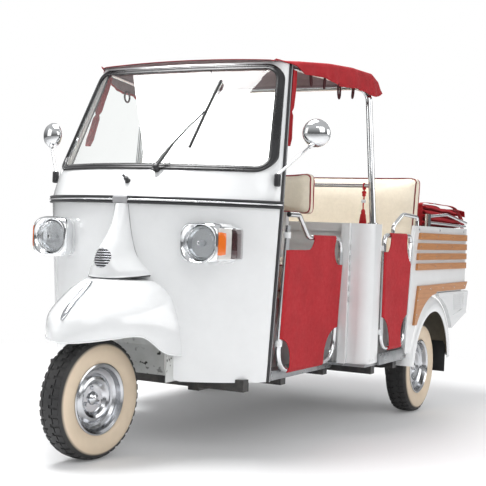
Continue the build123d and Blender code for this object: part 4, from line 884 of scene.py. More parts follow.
# ---------------------------------------------------------------- lamps and front
@dataclass
class Headlamp(SubAssembly):
    """Round lamp in a rounded square bezel, with the corner indicator beside it."""

    side: int = LEFT
    offset: float = 0.361
    height: float = 0.857
    face: float = 0.150
    half_width: float = 0.091
    half_height: float = 0.083
    lens_radius: float = 0.066
    points: int = 64

    def _at(self, station: float) -> Point:
        """The lamp's centre line at a station."""
        return (self.side * self.offset, aft(station), self.height)

    @staticmethod
    def _on_panel(outline: Sequence[Point], gap: float) -> list[Point]:
        """An outline seen from the front, laid on the cab's panel."""
        return [(x, cab_spot(x, z)[1] - gap, z) for x, _, z in outline]

    def _loops(self, rows: Sequence[tuple[float, ...]], points: int) -> list[Loop]:
        """Outlines from rows of depth behind the face, half width, half height and squareness."""
        return [
            rounded(self._at(self.face + back), wide, high, power, points)
            for back, wide, high, power in rows
        ]

    def _round(self, rows: Profile, points: int) -> list[Loop]:
        """Circles from rows of depth behind the face and radius."""
        return self._loops([(back, radius, radius, 2.0) for back, radius in rows], points)

    def make(self) -> None:
        """Makes the gasket, bezel, reflector, bulb cap, lens and indicator."""
        tag, name = TAGS[self.side], f"headlamp_{TAGS[self.side]}"
        a, b, r, n = self.half_width, self.half_height, self.lens_radius, self.points
        edges = ((0.0, 0.002, 4.2), (0.0, 0.001, 4.3), (0.05, 0.003, 4.4), (0.044, 0.003, 4.4))
        foot, lip, *back = self._loops([(deep, a - less, b - less, power) for deep, less, power in edges], n)
        gasket = Bench.rings(
            f"{name}_gasket", [self._on_panel(foot, -0.012), self._on_panel(lip, 0.003), *back]
        )
        self.dress(gasket, "white_enamel", "lamp_unit", 50)
        rows = (
            # depth behind the face, half width, half height, squareness
            (0.046, a - 0.001, b - 0.001, 4.6),
            (0.040, a + 0.001, b + 0.001, 4.6),
            (0.020, a - 0.002, b - 0.002, 4.4),
            (0.006, a - 0.007, b - 0.006, 4.0),
            (0.001, a - 0.012, b - 0.009, 3.4),
            (0.003, a - 0.017, b - 0.012, 2.6),
            (0.014, r + 0.005, r + 0.005, 2.0),
            (0.020, r + 0.001, r + 0.001, 2.0),
            (0.028, r + 0.001, r + 0.001, 2.0),
        )
        bezel = Bench.rings(f"{name}_bezel", self._loops(rows, n), close=(False, False))
        self.dress(
            bezel, "bezel_chrome", "lamp_unit", 60, replaces=["headlamps"] if self.side == LEFT else []
        )
        bowl = ((0.026, 0.065), (0.040, 0.060), (0.056, 0.046), (0.066, 0.026), (0.070, 0.010))
        reflector = Bench.rings(f"{name}_reflector", self._round(bowl, n), close=(False, True))
        self.dress(reflector, "mirror_silver", "lamp_unit", 60)
        knob = ((0.060, 0.008), (0.036, 0.013), (0.030, 0.012), (0.027, 0.006))
        self.dress(Bench.rings(f"{name}_bulb_cap", self._round(knob, 24)), "bulb_white", "lamp_unit", 50)
        dome = [
            (0.022, 0.0655), (0.016, 0.064), (0.011, 0.056), (0.0075, 0.042), (0.0055, 0.024),
            (0.005, 0.008),
        ]
        inside = [(back + 0.0035, radius - 0.002) for back, radius in reversed(dome)]
        self.dress(
            Bench.rings(f"{name}_lens", self._round(dome + inside, n)), "lamp_glass", "clear_glass", 60
        )
        self._indicator(tag)

    def _indicator(self, tag: str) -> None:
        """Side lamp beside the headlamp: chromed body, amber lens in its clear rim, dark rear lens."""
        rows = (
            # name, line of outer edge and station, half height, depth inwards, squareness, finish
            (
                "body",
                ((0.446, 0.168), (0.470, 0.200), (0.474, 0.240), (0.4705, 0.285), (0.4625, 0.332)),
                0.0675, 0.080, 8, "bezel_chrome",
            ),
            (
                "rim", ((0.449, 0.1600), (0.4600, 0.1735), (0.4710, 0.1930), (0.4765, 0.2090)), 0.0600,
                0.030, 6, "clear_rim",
            ),
            (
                "lens", ((0.450, 0.1575), (0.4570, 0.1650), (0.4625, 0.1745), (0.4670, 0.1835)), 0.0450,
                0.020, 6, "amber_lens",
            ),
            (
                "rear_lens", ((0.4770, 0.2120), (0.4785, 0.2430), (0.4750, 0.2850), (0.4680, 0.3180)),
                0.0580, 0.030, 7, "dark_lens",
            ),
        )
        inward, backward = 0.80, 0.55
        for name, line, half, inner, squareness, finish in rows:
            loops = []
            for x, station in line:
                outline = []
                for c, s in (squared(turn, squareness) for turn in turns(32)):
                    depth = inner / 2 * (1 - c)
                    spot = (
                        self.side * (x - depth * inward), aft(station + depth * backward),
                        self.height + half * s,
                    )
                    outline.append(spot)
                loops.append(outline)
            self.dress(Bench.rings(f"side_lamp_{tag}_{name}", loops), finish, "lamp_unit", 45)


CAB_PLANS = (
    # height, half width, station of the nose, station of the door edge, corner radius
    (0.305, 0.526, 0.165, 0.457, 0.030),
    (1.003, 0.565, 0.150, 0.443, 0.045),
    (1.033, 0.565, 0.150, 0.443, 0.045),
    (1.145, 0.546, 0.235, 0.487, 0.100),
    (1.625, 0.470, 0.594, 0.672, 0.055),
)


@dataclass(frozen=True)
class CabPlan:
    """The cab's plan at one height: a wide front arc with a small arc at each door edge."""

    height: float
    half_width: float
    nose: float
    edge: float
    corner: float

    @classmethod
    def at(cls, height: float) -> "CabPlan":
        """Plan at a height, between the two given ones nearest to it."""
        for low, high in zip(CAB_PLANS, CAB_PLANS[1:]):
            if height <= high[0]:
                break
        share = (height - low[0]) / (high[0] - low[0])
        return cls(height, *(a + share * (b - a) for a, b in zip(low[1:], high[1:])))

    @property
    def across(self) -> float:
        """Distance of the corner arc's centre from the middle."""
        return self.half_width - self.corner

    @property
    def radius(self) -> float:
        """Radius of the front arc."""
        along = self.nose - self.edge
        return (self.across**2 + along**2 - self.corner**2) / (-2 * (along + self.corner))

    @property
    def lean(self) -> float:
        """Angle at which the front arc meets the corner arc."""
        return math.asin(self.across / (self.radius - self.corner))

    def spot(self, u: float, gap: float = 0.0) -> Point:
        """Point of the outline, from the right door edge at -1 to the left one at 1.

        Args:
            u: place along the outline.
            gap: how far outside the outline, or inside where it is below zero.

        Returns:
            The point.
        """
        front, bend = self.radius * self.lean, self.corner * (math.pi / 2 - self.lean)
        run = abs(u) * (front + bend)
        if run <= front:
            turn = run / self.radius
            x = (self.radius + gap) * math.sin(turn)
            station = self.nose + self.radius - (self.radius + gap) * math.cos(turn)
        else:
            turn = self.lean + (run - front) / self.corner
            x = self.across + (self.corner + gap) * math.sin(turn)
            station = self.edge - (self.corner + gap) * math.cos(turn)
        return (math.copysign(x, u), aft(station), self.height)

    def place(self, x: float) -> float:
        """Place along the outline, from -1 to 1, at a distance from the middle."""
        front, bend = self.radius * self.lean, self.corner * (math.pi / 2 - self.lean)
        reach = min(abs(x), self.half_width)
        if reach <= self.radius * math.sin(self.lean):
            run = self.radius * math.asin(reach / self.radius)
        else:
            turn = math.asin(min((reach - self.across) / self.corner, 1.0))
            run = front + self.corner * (turn - self.lean)
        return math.copysign(run / (front + bend), x)


def cab_spot(x: float, height: float, gap: float = 0.0) -> Point:
    """Point of the cab's front at a distance from the middle and a height, raised by a gap."""
    plan = CabPlan.at(height)
    return plan.spot(plan.place(x), gap)


def screen_spot(x: float, height: float, gap: float) -> Point:
    """Point straight ahead of the upper cab's surface."""
    spot = cab_spot(x, height)
    return (x, spot[1] - gap, height)


@dataclass
class FrontTrim(SubAssembly):
    """Small fittings on the cab's front: belt line, joiner, washer jet, wiper and the mudguard's spear."""

    belt_low: float = 1.003
    belt_high: float = 1.033
    jet: Profile = (
        # distance from the foot, and radius
        (0.0, 0.012),
        (0.003, 0.0125),
        (0.006, 0.009),
        (0.010, 0.0085),
        (0.017, 0.0105),
        (0.022, 0.0095),
        (0.024, 0.006),
    )
    cap: Profile = (
        # distance from the wiper's pivot, and radius
        (0.0005, 0.014),
        (0.008, 0.014),
        (0.010, 0.0105),
        (0.018, 0.0095),
        (0.021, 0.0120),
        (0.027, 0.0110),
        (0.030, 0.006),
    )
    arm: Profile = (
        # share of the wiper's arm, and half width
        (-0.06, 0.0090),
        (0.02, 0.0115),
        (0.16, 0.0105),
        (0.34, 0.0060),
        (0.42, 0.0042),
        (0.70, 0.0036),
        (1.0, 0.0032),
    )
    spear: tuple[Point, ...] = (
        # station, height, half width
        (-0.030, 0.6905, 0.004),
        (-0.050, 0.680, 0.0125),
        (-0.085, 0.655, 0.0145),
        (-0.115, 0.634, 0.0125),
        (-0.140, 0.617, 0.0115),
        (-0.158, 0.604, 0.0150),
        (-0.182, 0.582, 0.0165),
        (-0.200, 0.563, 0.0120),
        (-0.208, 0.551, 0.005),
    )

    def make(self) -> None:
        """Makes every fitting."""
        self._belt_line()
        self._joiner()
        self._washer_jet()
        self._wiper()
        self._crest()

    def _belt_line(self) -> None:
        """Chrome beads along the rubber belt, left and right of the joiner, and the belt's rolled lips."""
        middle = (self.belt_low + self.belt_high) / 2
        beads = []
        for side in (LEFT, RIGHT):
            reach = [0.035 + (0.5645 - 0.035) * step / 60 for step in range(61)]
            points = [cab_spot(side * x, middle + 0.001, 0.0105) for x in reach]
            beads.append(Bench.bar("belt_bead", points, 0.0042, sides=4))
        self.dress(Bench.join("belt_bead", beads), "bright_chrome", "chrome", 60)
        lips = []
        for height in (self.belt_low + 0.004, self.belt_high - 0.004):
            points = [CabPlan.at(height).spot(step / 60 - 1, 0.009) for step in range(121)]
            lips.append(Bench.bar("belt_lip", points, 0.0045, sides=4))
        self.dress(Bench.join("belt_lips", lips), "black_rubber", "black_rubber", 60)

    def _joiner(self) -> None:
        """Grey cover where the two belt mouldings meet."""
        half = 0.033

        def place(u: float, v: float) -> Point:
            """Wraps the cover over the belt."""
            proud = 0.0165 - 0.006 * abs(2 * v - 1) ** 6
            height = self.belt_low - 0.0005 + (self.belt_high - self.belt_low + 0.001) * v
            return cab_spot(-half + 2 * half * u, height, proud)

        piece = Bench.sheet("belt_joiner", 10, 14, place)
        Bench.thicken(piece, 0.006)
        Bench.outward(piece)
        Bench.modify(piece, "BEVEL", width=0.0012, segments=2, limit_method="ANGLE")
        self.dress(piece, "grey_joiner", "black_plastic")

    def _washer_jet(self) -> None:
        """Black jet below the windscreen."""
        foot = Vector(screen_spot(-0.005, 1.093, -0.001))
        out = Vector((0.0, -0.80, 0.60))
        jet = Bench.rings("washer_jet", turned(foot, out, self.jet, 20))
        tip = foot + out * 0.014
        spout = [foot + out * 0.012, tip + Vector((-0.010, 0, 0.010)), tip + Vector((-0.018, 0, 0.016))]
        neck = Bench.bar("washer_neck", spout, 0.0045, sides=5)
        piece = Bench.join("washer_jet", [jet, neck])
        self.dress(piece, "black_moulding", "black_plastic", 40)

    def _wiper(self) -> None:
        """Wiper: cap on the spindle, tapered arm and a blade in its bridge."""
        pivot = Vector(screen_spot(0.106, 1.143, 0.002))
        normal = Vector((0.0, -0.797, 0.604))
        cap = Bench.rings("wiper_cap", turned(pivot, normal, self.cap, 24))
        joint = Vector(screen_spot(0.205, 1.392, 0.018))
        start = pivot + normal * 0.020
        across = (joint - start).normalized().cross(normal).normalized()
        loops = []
        for share, wide in self.arm:
            middle = start.lerp(joint, share) + normal * (0.012 * math.sin(math.pi * min(max(share, 0), 1)))
            deep = min(wide, 0.0055)
            oval = ((across * wide * math.cos(a), normal * deep * math.sin(a)) for a in turns(16))
            loops.append([tuple(middle + x + z) for x, z in oval])
        arm = Bench.rings("wiper_arm", loops)
        blade = ((0.206, 1.240), (0.208, 1.318), (0.210, 1.395), (0.214, 1.460), (0.220, 1.540))
        ends = [Vector(screen_spot(x, z, 0.0105)) for x, z in blade]
        bridge = Bench.bar("wiper_bridge", ahead(ends, -0.005), 0.0052, sides=5)
        rubber = Bench.bar("wiper_rubber", ahead(ends, 0.003), 0.0040, sides=4)
        grip = [*ahead([joint], -0.003), *ahead([ends[2]], -0.002)]
        clip = Bench.bar("wiper_clip", grip, 0.0065, smooth=False, sides=5)
        piece = Bench.join("wiper_assembly", [cap, arm, bridge, rubber, clip])
        self.dress(piece, "black_moulding", "black_plastic", 45, replaces=["wiper"])

    def _crest(self) -> None:
        """Bright spear along the mudguard's crown."""
        loops, keys = [], self.spear
        for index, (station, height, half) in enumerate(keys):
            before, after = keys[max(index - 1, 0)], keys[min(index + 1, len(keys) - 1)]
            run = Vector((0, after[0] - before[0], after[1] - before[1])).normalized()
            rise = Vector((0, run.z, -run.y))
            if rise.z < 0:
                rise = -rise
            middle = Vector((0.0, aft(station), height))
            oval = ((half * math.cos(a), 0.009 * math.sin(a)) for a in turns(20))
            loops.append([tuple(middle + Vector((x, 0, 0)) + rise * z) for x, z in oval])
        piece = Bench.rings("mudguard_spear", loops)
        self.dress(piece, "brushed_rim", "chrome", 50, replaces=["mudguard_crest"])


# ---------------------------------------------------------------- roof
@dataclass
class Roof(SubAssembly):
    """Canvas roof with its tie loops, and the rolled side curtains."""

    stations: tuple[float, ...] = (0.592, 0.674, 0.730, 0.90, 1.05, 1.213, 1.275, 1.330)
    halves: tuple[float, ...] = (0.445, 0.486, 0.518, 0.575, 0.612, 0.640, 0.642, 0.636)
    hems: tuple[float, ...] = (1.6275, 1.6265, 1.588, 1.573, 1.563, 1.555, 1.560, 1.572)
    edges: tuple[float, ...] = (1.6285, 1.633, 1.640, 1.655, 1.662, 1.656, 1.633, 1.592)
    crowns: tuple[float, ...] = (1.643, 1.650, 1.656, 1.668, 1.676, 1.674, 1.655, 1.614)

    def _along(self, values: Sequence[float], station: float) -> float:
        """A row's value at a station of the roof."""
        rows = list(zip(self.stations, values))
        for (a, x), (b, y) in zip(rows, rows[1:]):
            if station <= b:
                return x + (y - x) * max(0.0, min(1.0, (station - a) / (b - a)))
        return values[-1]

    def spot(self, u: float, v: float) -> Point:
        """A point of the roof cloth, u across from the right hem to the left and v aft."""
        first, last = self.stations[0], self.stations[-1]
        station = first + (last - first) * v
        tables = (self.halves, self.hems, self.edges, self.crowns)
        half, hem, edge, crown = (self._along(row, station) for row in tables)
        across = 2 * u - 1
        skirt = 0.075
        if abs(across) > 1 - skirt:
            share = (abs(across) - (1 - skirt)) / skirt
            x = half - 0.010 + 0.010 * math.sin(share * math.pi / 2)
            z = edge - (edge - hem) * share
            wave = 0.004 * share * math.sin(station * 38) + 0.003 * share * math.sin(station * 83 + 1.0)
            return (
                math.copysign(x + wave, across), aft(station),
                z + 0.006 * share * math.sin(station * 24 + 0.6),
            )
        share = across / (1 - skirt)
        x = share * (half - 0.010)
        arch = crown - (crown - edge) * share**2
        if abs(share) > 0.94:
            arch -= 0.004 * ((abs(share) - 0.94) / 0.06) ** 2
        between = math.sin(math.pi * min(max((station - 0.70) / (1.20 - 0.70), 0.0), 1.0))
        sag = 0.010 * between * (1 - abs(share) ** 4)
        pull = 0.0018 * between * math.sin(share * 26 + station * 9) * abs(share)
        return (x, aft(station), arch - sag + pull)

    def _under(self, u: float, v: float) -> Point:
        """A point just inside the roof cloth."""
        x, y, z = self.spot(u, v)
        inward = 0.0032 * min(1.0, max(0.0, (abs(2 * u - 1) - 0.90) / 0.05))
        return (x - math.copysign(inward, x), y, z - 0.0030 * (1 - inward / 0.0032 * 0.8))

    def make(self) -> None:
        """Makes the roof cloth, its lining, seams, loops and the curtains."""
        cloth = Bench.sheet("roof_canvas", 120, 110, self.spot)
        area = Bench.thicken(cloth, 0.0022, 0.0)
        self.dress(cloth, "roof_canvas", "red_canvas", 50, replaces=["canopy"])
        lining = Bench.sheet(
            "roof_lining", 80, 70, lambda u, v: self._under(0.004 + 0.992 * u, 0.004 + 0.99 * v)
        )
        area = Bench.thicken(lining, 0.0008, 0.0)
        self.dress(lining, "roof_lining", "red_canvas", 50)
        line = [Vector(self.spot(k / 60, 0.83)) + Vector((0, 0, 0.0012)) for k in range(61)]
        seams = [Bench.bar("seam", line, 0.0014, sides=3)]
        for u in (0.004, 0.996):
            line = [Vector(self.spot(u, k / 50)) for k in range(51)]
            seams.append(Bench.bar("seam", line, 0.0024, sides=4))
        line = [Vector(self.spot(k / 60, 0.997)) for k in range(61)]
        seams.append(Bench.bar("seam", line, 0.0024, sides=4))
        self.dress(Bench.join("roof_seams", seams), "roof_canvas", "red_canvas", 60)
        self._loops()
        for side in (LEFT, RIGHT):
            self._curtain(side)

    def _loops(self) -> None:
        """Webbing loops that hang inside the roof's hem."""
        rows = (
            # side, station, size, sway
            (LEFT, 0.775, 0.026, 0.4),
            (LEFT, 0.86, 0.024, -0.3),
            (LEFT, 0.955, 0.036, 0.2),
            (LEFT, 1.06, 0.026, -0.5),
            (RIGHT, 1.02, 0.026, 0.2),
        )
        made = []
        for side, station, size, sway in rows:
            half, hem = self._along(self.halves, station) - 0.012, self._along(self.hems, station)
            top = Vector((side * half, aft(station), hem + 0.012))
            points = []
            for turn in turns(12, 1):
                bow_out, drop = math.sin(turn), 1 - math.cos(turn)
                along = size * 0.62 * bow_out + sway * 0.01 * drop
                points.append(top + Vector((side * -0.004 * bow_out, along, -size * drop)))
            made.append(Bench.bar("loop", points, 0.0045, sides=4))
        hang = ((0.0, 0.0, 0.0), (0.010, 0.01, -0.05), (-0.006, 0.012, -0.085), (0.012, 0.008, -0.115))
        for x in (-0.06, 0.07):
            top = Vector((x, aft(0.70), 1.612))
            made.append(Bench.bar("loop", [top + Vector(step) for step in hang], 0.004, sides=4))
        self.dress(Bench.join("roof_tie_loops", made), "dark_strap", "red_canvas", 60)

    def _curtain(self, side: int) -> None:
        """One side curtain, gathered behind the screen pillar and tied."""
        top, foot = Vector((side * 0.474, aft(0.700), 1.5985)), Vector((side * 0.509, aft(0.600), 1.270))
        loops = []
        for step in range(41):
            share = step / 40
            middle = top.lerp(foot, share)
            tied = 1.0 - 0.45 * math.exp(-(((share - 0.55) / 0.03) ** 2))
            girth = 0.0135 * (1.0 + 0.10 * math.sin(share * 7.0)) * tied * (
                1.0 - 0.35 * max(0.0, share - 0.9) * 10
            )
            outline = []
            for angle in turns(40):
                broad, fine = math.sin(6 * angle + 2.4 * share), math.sin(11 * angle - 3 * share)
                fold = 1.0 + 0.17 * broad + 0.08 * fine
                out = Vector((girth * fold * math.cos(angle), 1.25 * girth * fold * math.sin(angle), 0))
                outline.append(tuple(middle + out))
            loops.append(outline)
        piece = Bench.rings(f"curtain_{TAGS[side]}", loops)
        self.dress(
            piece, "roof_canvas", "red_canvas", 60, replaces=["side_curtains"] if side == LEFT else []
        )


# ---------------------------------------------------------------- doors
def through(first: Pair, middle: Pair, last: Pair, count: int) -> list[Pair]:
    """Points of the arc through three points, both ends included."""
    (ax, ay), (bx, by), (cx, cy) = first, middle, last
    d = 2 * (ax * (by - cy) + bx * (cy - ay) + cx * (ay - by))
    ux = ((ax**2 + ay**2) * (by - cy) + (bx**2 + by**2) * (cy - ay) + (cx**2 + cy**2) * (ay - by)) / d
    uy = ((ax**2 + ay**2) * (cx - bx) + (bx**2 + by**2) * (ax - cx) + (cx**2 + cy**2) * (bx - ax)) / d
    start, end, mid = (math.atan2(p[1] - uy, p[0] - ux) for p in (first, last, middle))
    sweep = (end - start) % (2 * math.pi)
    if (mid - start) % (2 * math.pi) > sweep:
        sweep -= 2 * math.pi
    radius = math.hypot(ax - ux, ay - uy)
    stops = [start + sweep * k / count for k in range(count + 1)]
    return [(ux + radius * math.cos(turn), uy + radius * math.sin(turn)) for turn in stops]


@dataclass
class DoorCloth(SubAssembly):
    """Canvas laced round a door's tube frame, with its corners cut away."""

    name: str = "front_door_left"
    side: int = LEFT
    x: float = 0.548
    foot: float = 0.345
    lean: float = 0.0
    tube: float = 0.0126
    fore: tuple[Pair, ...] = ()
    rear: tuple[Pair, ...] = ()
    posts: Pair = (0.497, 1.060)
    rails: Pair = (0.345, 0.893)
    slope: float = 0.0
    stitched: bool = True

    @staticmethod
    def _limit(line: Profile, height: float) -> float:
        """Station of a side's outline at a height; the line runs upwards."""
        for (s0, h0), (s1, h1) in zip(line, line[1:]):
            if height <= h1:
                share = 0.0 if h1 <= h0 else max(0.0, (height - h0) / (h1 - h0))
                return s0 + (s1 - s0) * share
        return line[-1][0]

    def heights(self) -> list[float]:
        """Heights of the cloth's rows, with every corner of the outline among them."""
        low, high = self.fore[0][1], self.fore[-1][1]
        even = {low + (high - low) * k / 56 for k in range(57)}
        marks = sorted({h for _, h in (*self.fore, *self.rear)} | even)
        kept = [marks[0]]
        for mark in marks[1:]:
            if mark - kept[-1] > 0.0004:
                kept.append(mark)
        return kept

    def _wrap(self, station: float, height: float) -> float:
        """Stand-off of the cloth from the tubes' plane, rolled over the edge tubes."""
        rear = self.posts[1] + self.slope * (height - 0.535)
        over = max(
            self.posts[0] - station, station - rear, self.rails[0] - height, height - self.rails[1], 0.0
        )
        return math.sqrt(max(self.tube**2 - over**2, 0.0))

    def spot(self, station: float, height: float) -> Point:
        """A point on the cloth."""
        between = (station - self.posts[0]) / (self.posts[1] - self.posts[0])
        rise = (height - self.rails[0]) / (self.rails[1] - self.rails[0])
        across, upward = (max(0.0, math.sin(math.pi * min(max(share, 0), 1))) for share in (between, rise))
        inside = across * upward
        sway = -0.0035 * inside + 0.0016 * inside * math.sin(19 * station + 7 * height)
        out = self._wrap(station, height) + 0.0012 + sway
        if self.stitched:
            out += 0.0010 * math.exp(-between * 9) * (1 + math.sin(height * 95 + 14 * station))
        up = height - self.foot
        return (
            self.side * (self.x + up * math.tan(self.lean) + out * math.cos(self.lean)),
            aft(station),
            height - out * math.sin(self.lean),
        )

    def make(self) -> None:
        """Makes the cloth and its hems."""
        rows = self.heights()
        count = len(rows) - 1
        cloth = Bench.sheet(f"{self.name}_canvas", 44, count, lambda u, v: self._grid_spot(rows, u, v))
        if self.side == RIGHT:
            with Bench.shaping(cloth):
                bpy.ops.mesh.flip_normals()
        area = Bench.thicken(cloth, 0.0018, 0.0)
        self.dress(cloth, "red_canvas", "red_canvas", 55, replaces=[f"{self.name}_cloth"])
        hems = []
        for line in (self.fore, self.rear):
            spots = [Vector(self.spot(s, h)) for s, h in line]
            hems.append(Bench.bar("hem", spots, 0.0017, smooth=False, sides=3))
        self.dress(Bench.join(f"{self.name}_hems", hems), "red_canvas", "red_canvas", 60)

    def _grid_spot(self, rows: Sequence[float], u: float, v: float) -> Point:
        """The cloth's point for a grid place."""
        height = rows[int(round(v * (len(rows) - 1)))]
        fore, rear = self._limit(self.fore, height), self._limit(self.rear, height)
        return self.spot(fore + (rear - fore) * u, height)


# ---------------------------------------------------------------- front shell
def eased(table: Sequence[tuple[float, ...]], place: float) -> tuple[float, ...]:
    """Values of a table at a place, on a smooth line through its rows.

    Args:
        table: rows of place and values, in rising order of place.
        place: where the values are wanted.

    Returns:
        The values, without the place.
    """
    last = len(table) - 1
    k = next((k for k in range(last - 1) if place <= table[k + 1][0]), last - 1)
    rows = [table[min(max(k + d, 0), last)] for d in (-1, 0, 1, 2)]
    span = rows[2][0] - rows[1][0]
    t = min(max((place - rows[1][0]) / span, 0.0), 1.0)
    made = []
    for before, low, high, after in list(zip(*rows))[1:]:
        rise0 = (high - before) / max(rows[2][0] - rows[0][0], 1e-6) * span
        rise1 = (after - low) / max(rows[3][0] - rows[1][0], 1e-6) * span
        near, far = (2 * t**3 - 3 * t**2 + 1) * low, (3 * t**2 - 2 * t**3) * high
        made.append(near + (t**3 - 2 * t**2 + t) * rise0 + far + (t**3 - t**2) * rise1)
    return tuple(made)


def bow(u: float, front: float, back: float, half: float, lead: float, power: float) -> Pair:
    """Point of a bow-shaped plan curve.

    Args:
        u: -1 at its right end, 0 at its front and 1 at its left end.
        front: station of its front.
        back: station of its ends.
        half: half its width at the ends.
        lead: how straight its sides run, 1 or more.
        power: how blunt its front is, 2 or more.

    Returns:
        The distance from the middle and the station.
    """
    t = abs(u) ** 1.7
    width = half * max(1 - (1 - t) ** lead, 0.0) ** (1 / power)
    return math.copysign(width, u), front + (back - front) * t


def last_before(low: float, high: float, tries: int, short: Callable[[float], bool]) -> Pair:
    """Halves a span, keeping its lower end where the test holds and its upper end where it fails."""
    for _ in range(tries):
        middle = (low + high) / 2
        low, high = (middle, high) if short(middle) else (low, middle)
    return low, high


LIP_HEIGHTS = (
    # station, height of the mudguard's lower edge
    (-0.300, 0.466),
    (-0.228, 0.4705),
    (-0.160, 0.4790),
    (-0.087, 0.4885),
    (-0.017, 0.4945),
    (0.023, 0.4905),
    (0.050, 0.4790),
    (0.077, 0.4610),
    (0.100, 0.4420),
    (0.130, 0.4250),
    (0.165, 0.4150),
    (0.260, 0.4100),
)


@dataclass
class FrontShell(SubAssembly):
    """Bell of the mudguard, the nose above it and the nose's round grille."""

    guard: tuple[tuple[float, float, float], ...] = (
        # height, half width at the cab, station of the front
        (0.400, 0.262, -0.226),
        (0.470, 0.258, -0.228),
        (0.520, 0.252, -0.220),
        (0.570, 0.243, -0.196),
        (0.630, 0.224, -0.118),
        (0.662, 0.206, -0.074),
        (0.686, 0.180, -0.036),
        (0.700, 0.156, -0.010),
    )
    nose: tuple[tuple[float, float, float, float], ...] = (
        # height, half width at the cab, station of the front, bluntness
        (0.706, 0.143, 0.022, 2.60),
        (0.716, 0.141, 0.026, 2.65),
        (0.733, 0.133, 0.0255, 2.80),
        (0.755, 0.113, 0.0235, 2.90),
        (0.784, 0.090, 0.0240, 2.90),
        (0.812, 0.076, 0.0300, 2.80),
        (0.835, 0.069, 0.0440, 2.60),
        (0.870, 0.062, 0.0750, 2.40),
        (0.910, 0.057, 0.1010, 2.30),
        (0.955, 0.053, 0.1180, 2.30),
        (1.0025, 0.050, 0.1300, 2.30),
    )
    cab_back: float = 0.200
    guard_back: float = 0.218
    grille_height: float = 0.784
    grille_radius: float = 0.040

    def make(self) -> None:
        """Makes the mudguard, the nose and the grille."""
        self._mudguard()
        self._nose()
        self._grille()

    def guard_spot(self, u: float, v: float) -> Point:
        """Point of the mudguard; v runs from its crown down to its lip."""
        if v < 0.10:
            share = v / 0.10
            half, front = eased(self.guard, 0.700)
            tip, wide = front + (0.10 - front) * (1 - share), half * (0.35 + 0.65 * share)
            x, station = bow(u, tip, self.guard_back, wide, 1.163, 1.96)
            return (x, aft(station), 0.7065 - 0.0065 * share**2)
        share = (v - 0.10) / 0.90
        t = abs(u) ** 1.7
        lip = eased(LIP_HEIGHTS, -0.228 + (self.guard_back + 0.228) * t)[0]
        height = 0.700 - (0.700 - lip) * (share**1.15)
        half, front = eased(self.guard, height)
        blunt = 1.96 + 0.55 * math.sin(math.pi * min(max((height - 0.47) / 0.24, 0.0), 1.0))
        x, station = bow(u, front, self.guard_back, half * 1.012, 1.163, blunt)
        return (x, aft(station), height)

    def _mudguard(self) -> None:
        """The bell with its rolled lip."""
        shell = Bench.sheet("mudguard_bell", 96, 56, lambda u, v: self.guard_spot(2 * u - 1, v))
        Bench.outward(shell)
        Bench.thicken(shell, 0.004)
        self.dress(shell, "white_enamel", "body_paint", 60, replaces=["front_mudguard"])
        lip = [Vector(self.guard_spot(2 * k / 120 - 1, 1.0)) for k in range(121)]
        self.dress(Bench.bar("mudguard_lip", lip, 0.0034, sides=5), "white_enamel", "body_paint", 60)

    def nose_spot(self, u: float, height: float) -> Point:
        """Point of the nose; its foot rises towards the cab."""
        half, front, power = eased(self.nose, height)
        x, station = bow(u, front, self.cab_back, half, 1.176, power)
        foot = 0.099 * (station - 0.0276) * max(1 - (height - 0.709) / 0.10, 0.0)
        return (x, aft(station), height + foot)

    def _nose(self) -> None:
        """The nose's skin with its rolled lower edge, a grey line painted as the shadow where it meets the
        panel, and a black bar painted as the shadow below.
        """
        low, high = self.nose[0][0] + 0.003, self.nose[-1][0]
        skin = Bench.sheet(
            "nose_skin", 72, 70, lambda u, v: self.nose_spot(2 * u - 1, low + (high - low) * v)
        )
        Bench.outward(skin)
        Bench.thicken(skin, 0.003)
        self.dress(skin, "white_enamel", "body_paint", 60, replaces=["nose_cowl"])
        edge = [Vector(self.nose_spot(2 * k / 90 - 1, low)) for k in range(91)]
        self.dress(Bench.bar("nose_edge", edge, 0.0022, sides=4), "white_enamel", "body_paint", 60)
        # grey bars along the nose's meeting with the panel: painted shadow line
        seam = []
        for side in (LEFT, RIGHT):
            line = []
            for step in range(40):
                height = low + 0.004 + (high - low - 0.008) * step / 39

                def clear(u: float, height: float = height) -> bool:
                    """Whether the nose stands clear of the panel there."""
                    spot = self.nose_spot(u, height)
                    return spot[1] < cab_spot(spot[0], height)[1]

                spot = self.nose_spot(side * last_before(0.0, 1.0, 24, clear)[0], height)
                line.append((spot[0], spot[1] - 0.0004, height))
            seam.append(Bench.bar("nose_seam", line, 0.0016, sides=3))
        self.dress(Bench.join("nose_seam", seam), "grey_joiner", "black_rubber", 60)
        # black bar just below the nose's lower edge: painted shadow
        below = [Vector(self.nose_spot(0.985 * (2 * k / 90 - 1), low - 0.0042)) for k in range(91)]
        joint = ahead(below, 0.002)
        self.dress(Bench.bar("nose_joint", joint, 0.0022, sides=4), "black_rubber", "black_rubber", 60)

    def _on_nose(self, x: float, height: float, lift: float) -> Point:
        """Point ahead of the nose's surface at a distance from the middle."""
        low, high = last_before(0.0, 1.0, 30, lambda u: self.nose_spot(u, height)[0] < abs(x))
        spot = self.nose_spot((low + high) / 2, height)
        return (x, spot[1] - lift, height)

    def _grille(self) -> None:
        """Round grille: dark slots between bright bars, flush in the nose."""
        radius = self.grille_radius

        def disc(u: float, v: float) -> Point:
            """The dark ground behind the bars."""
            angle = 2 * math.pi * u
            x, z = radius * v * math.cos(angle), radius * v * math.sin(angle)
            return self._on_nose(x, self.grille_height + z, 0.0012)

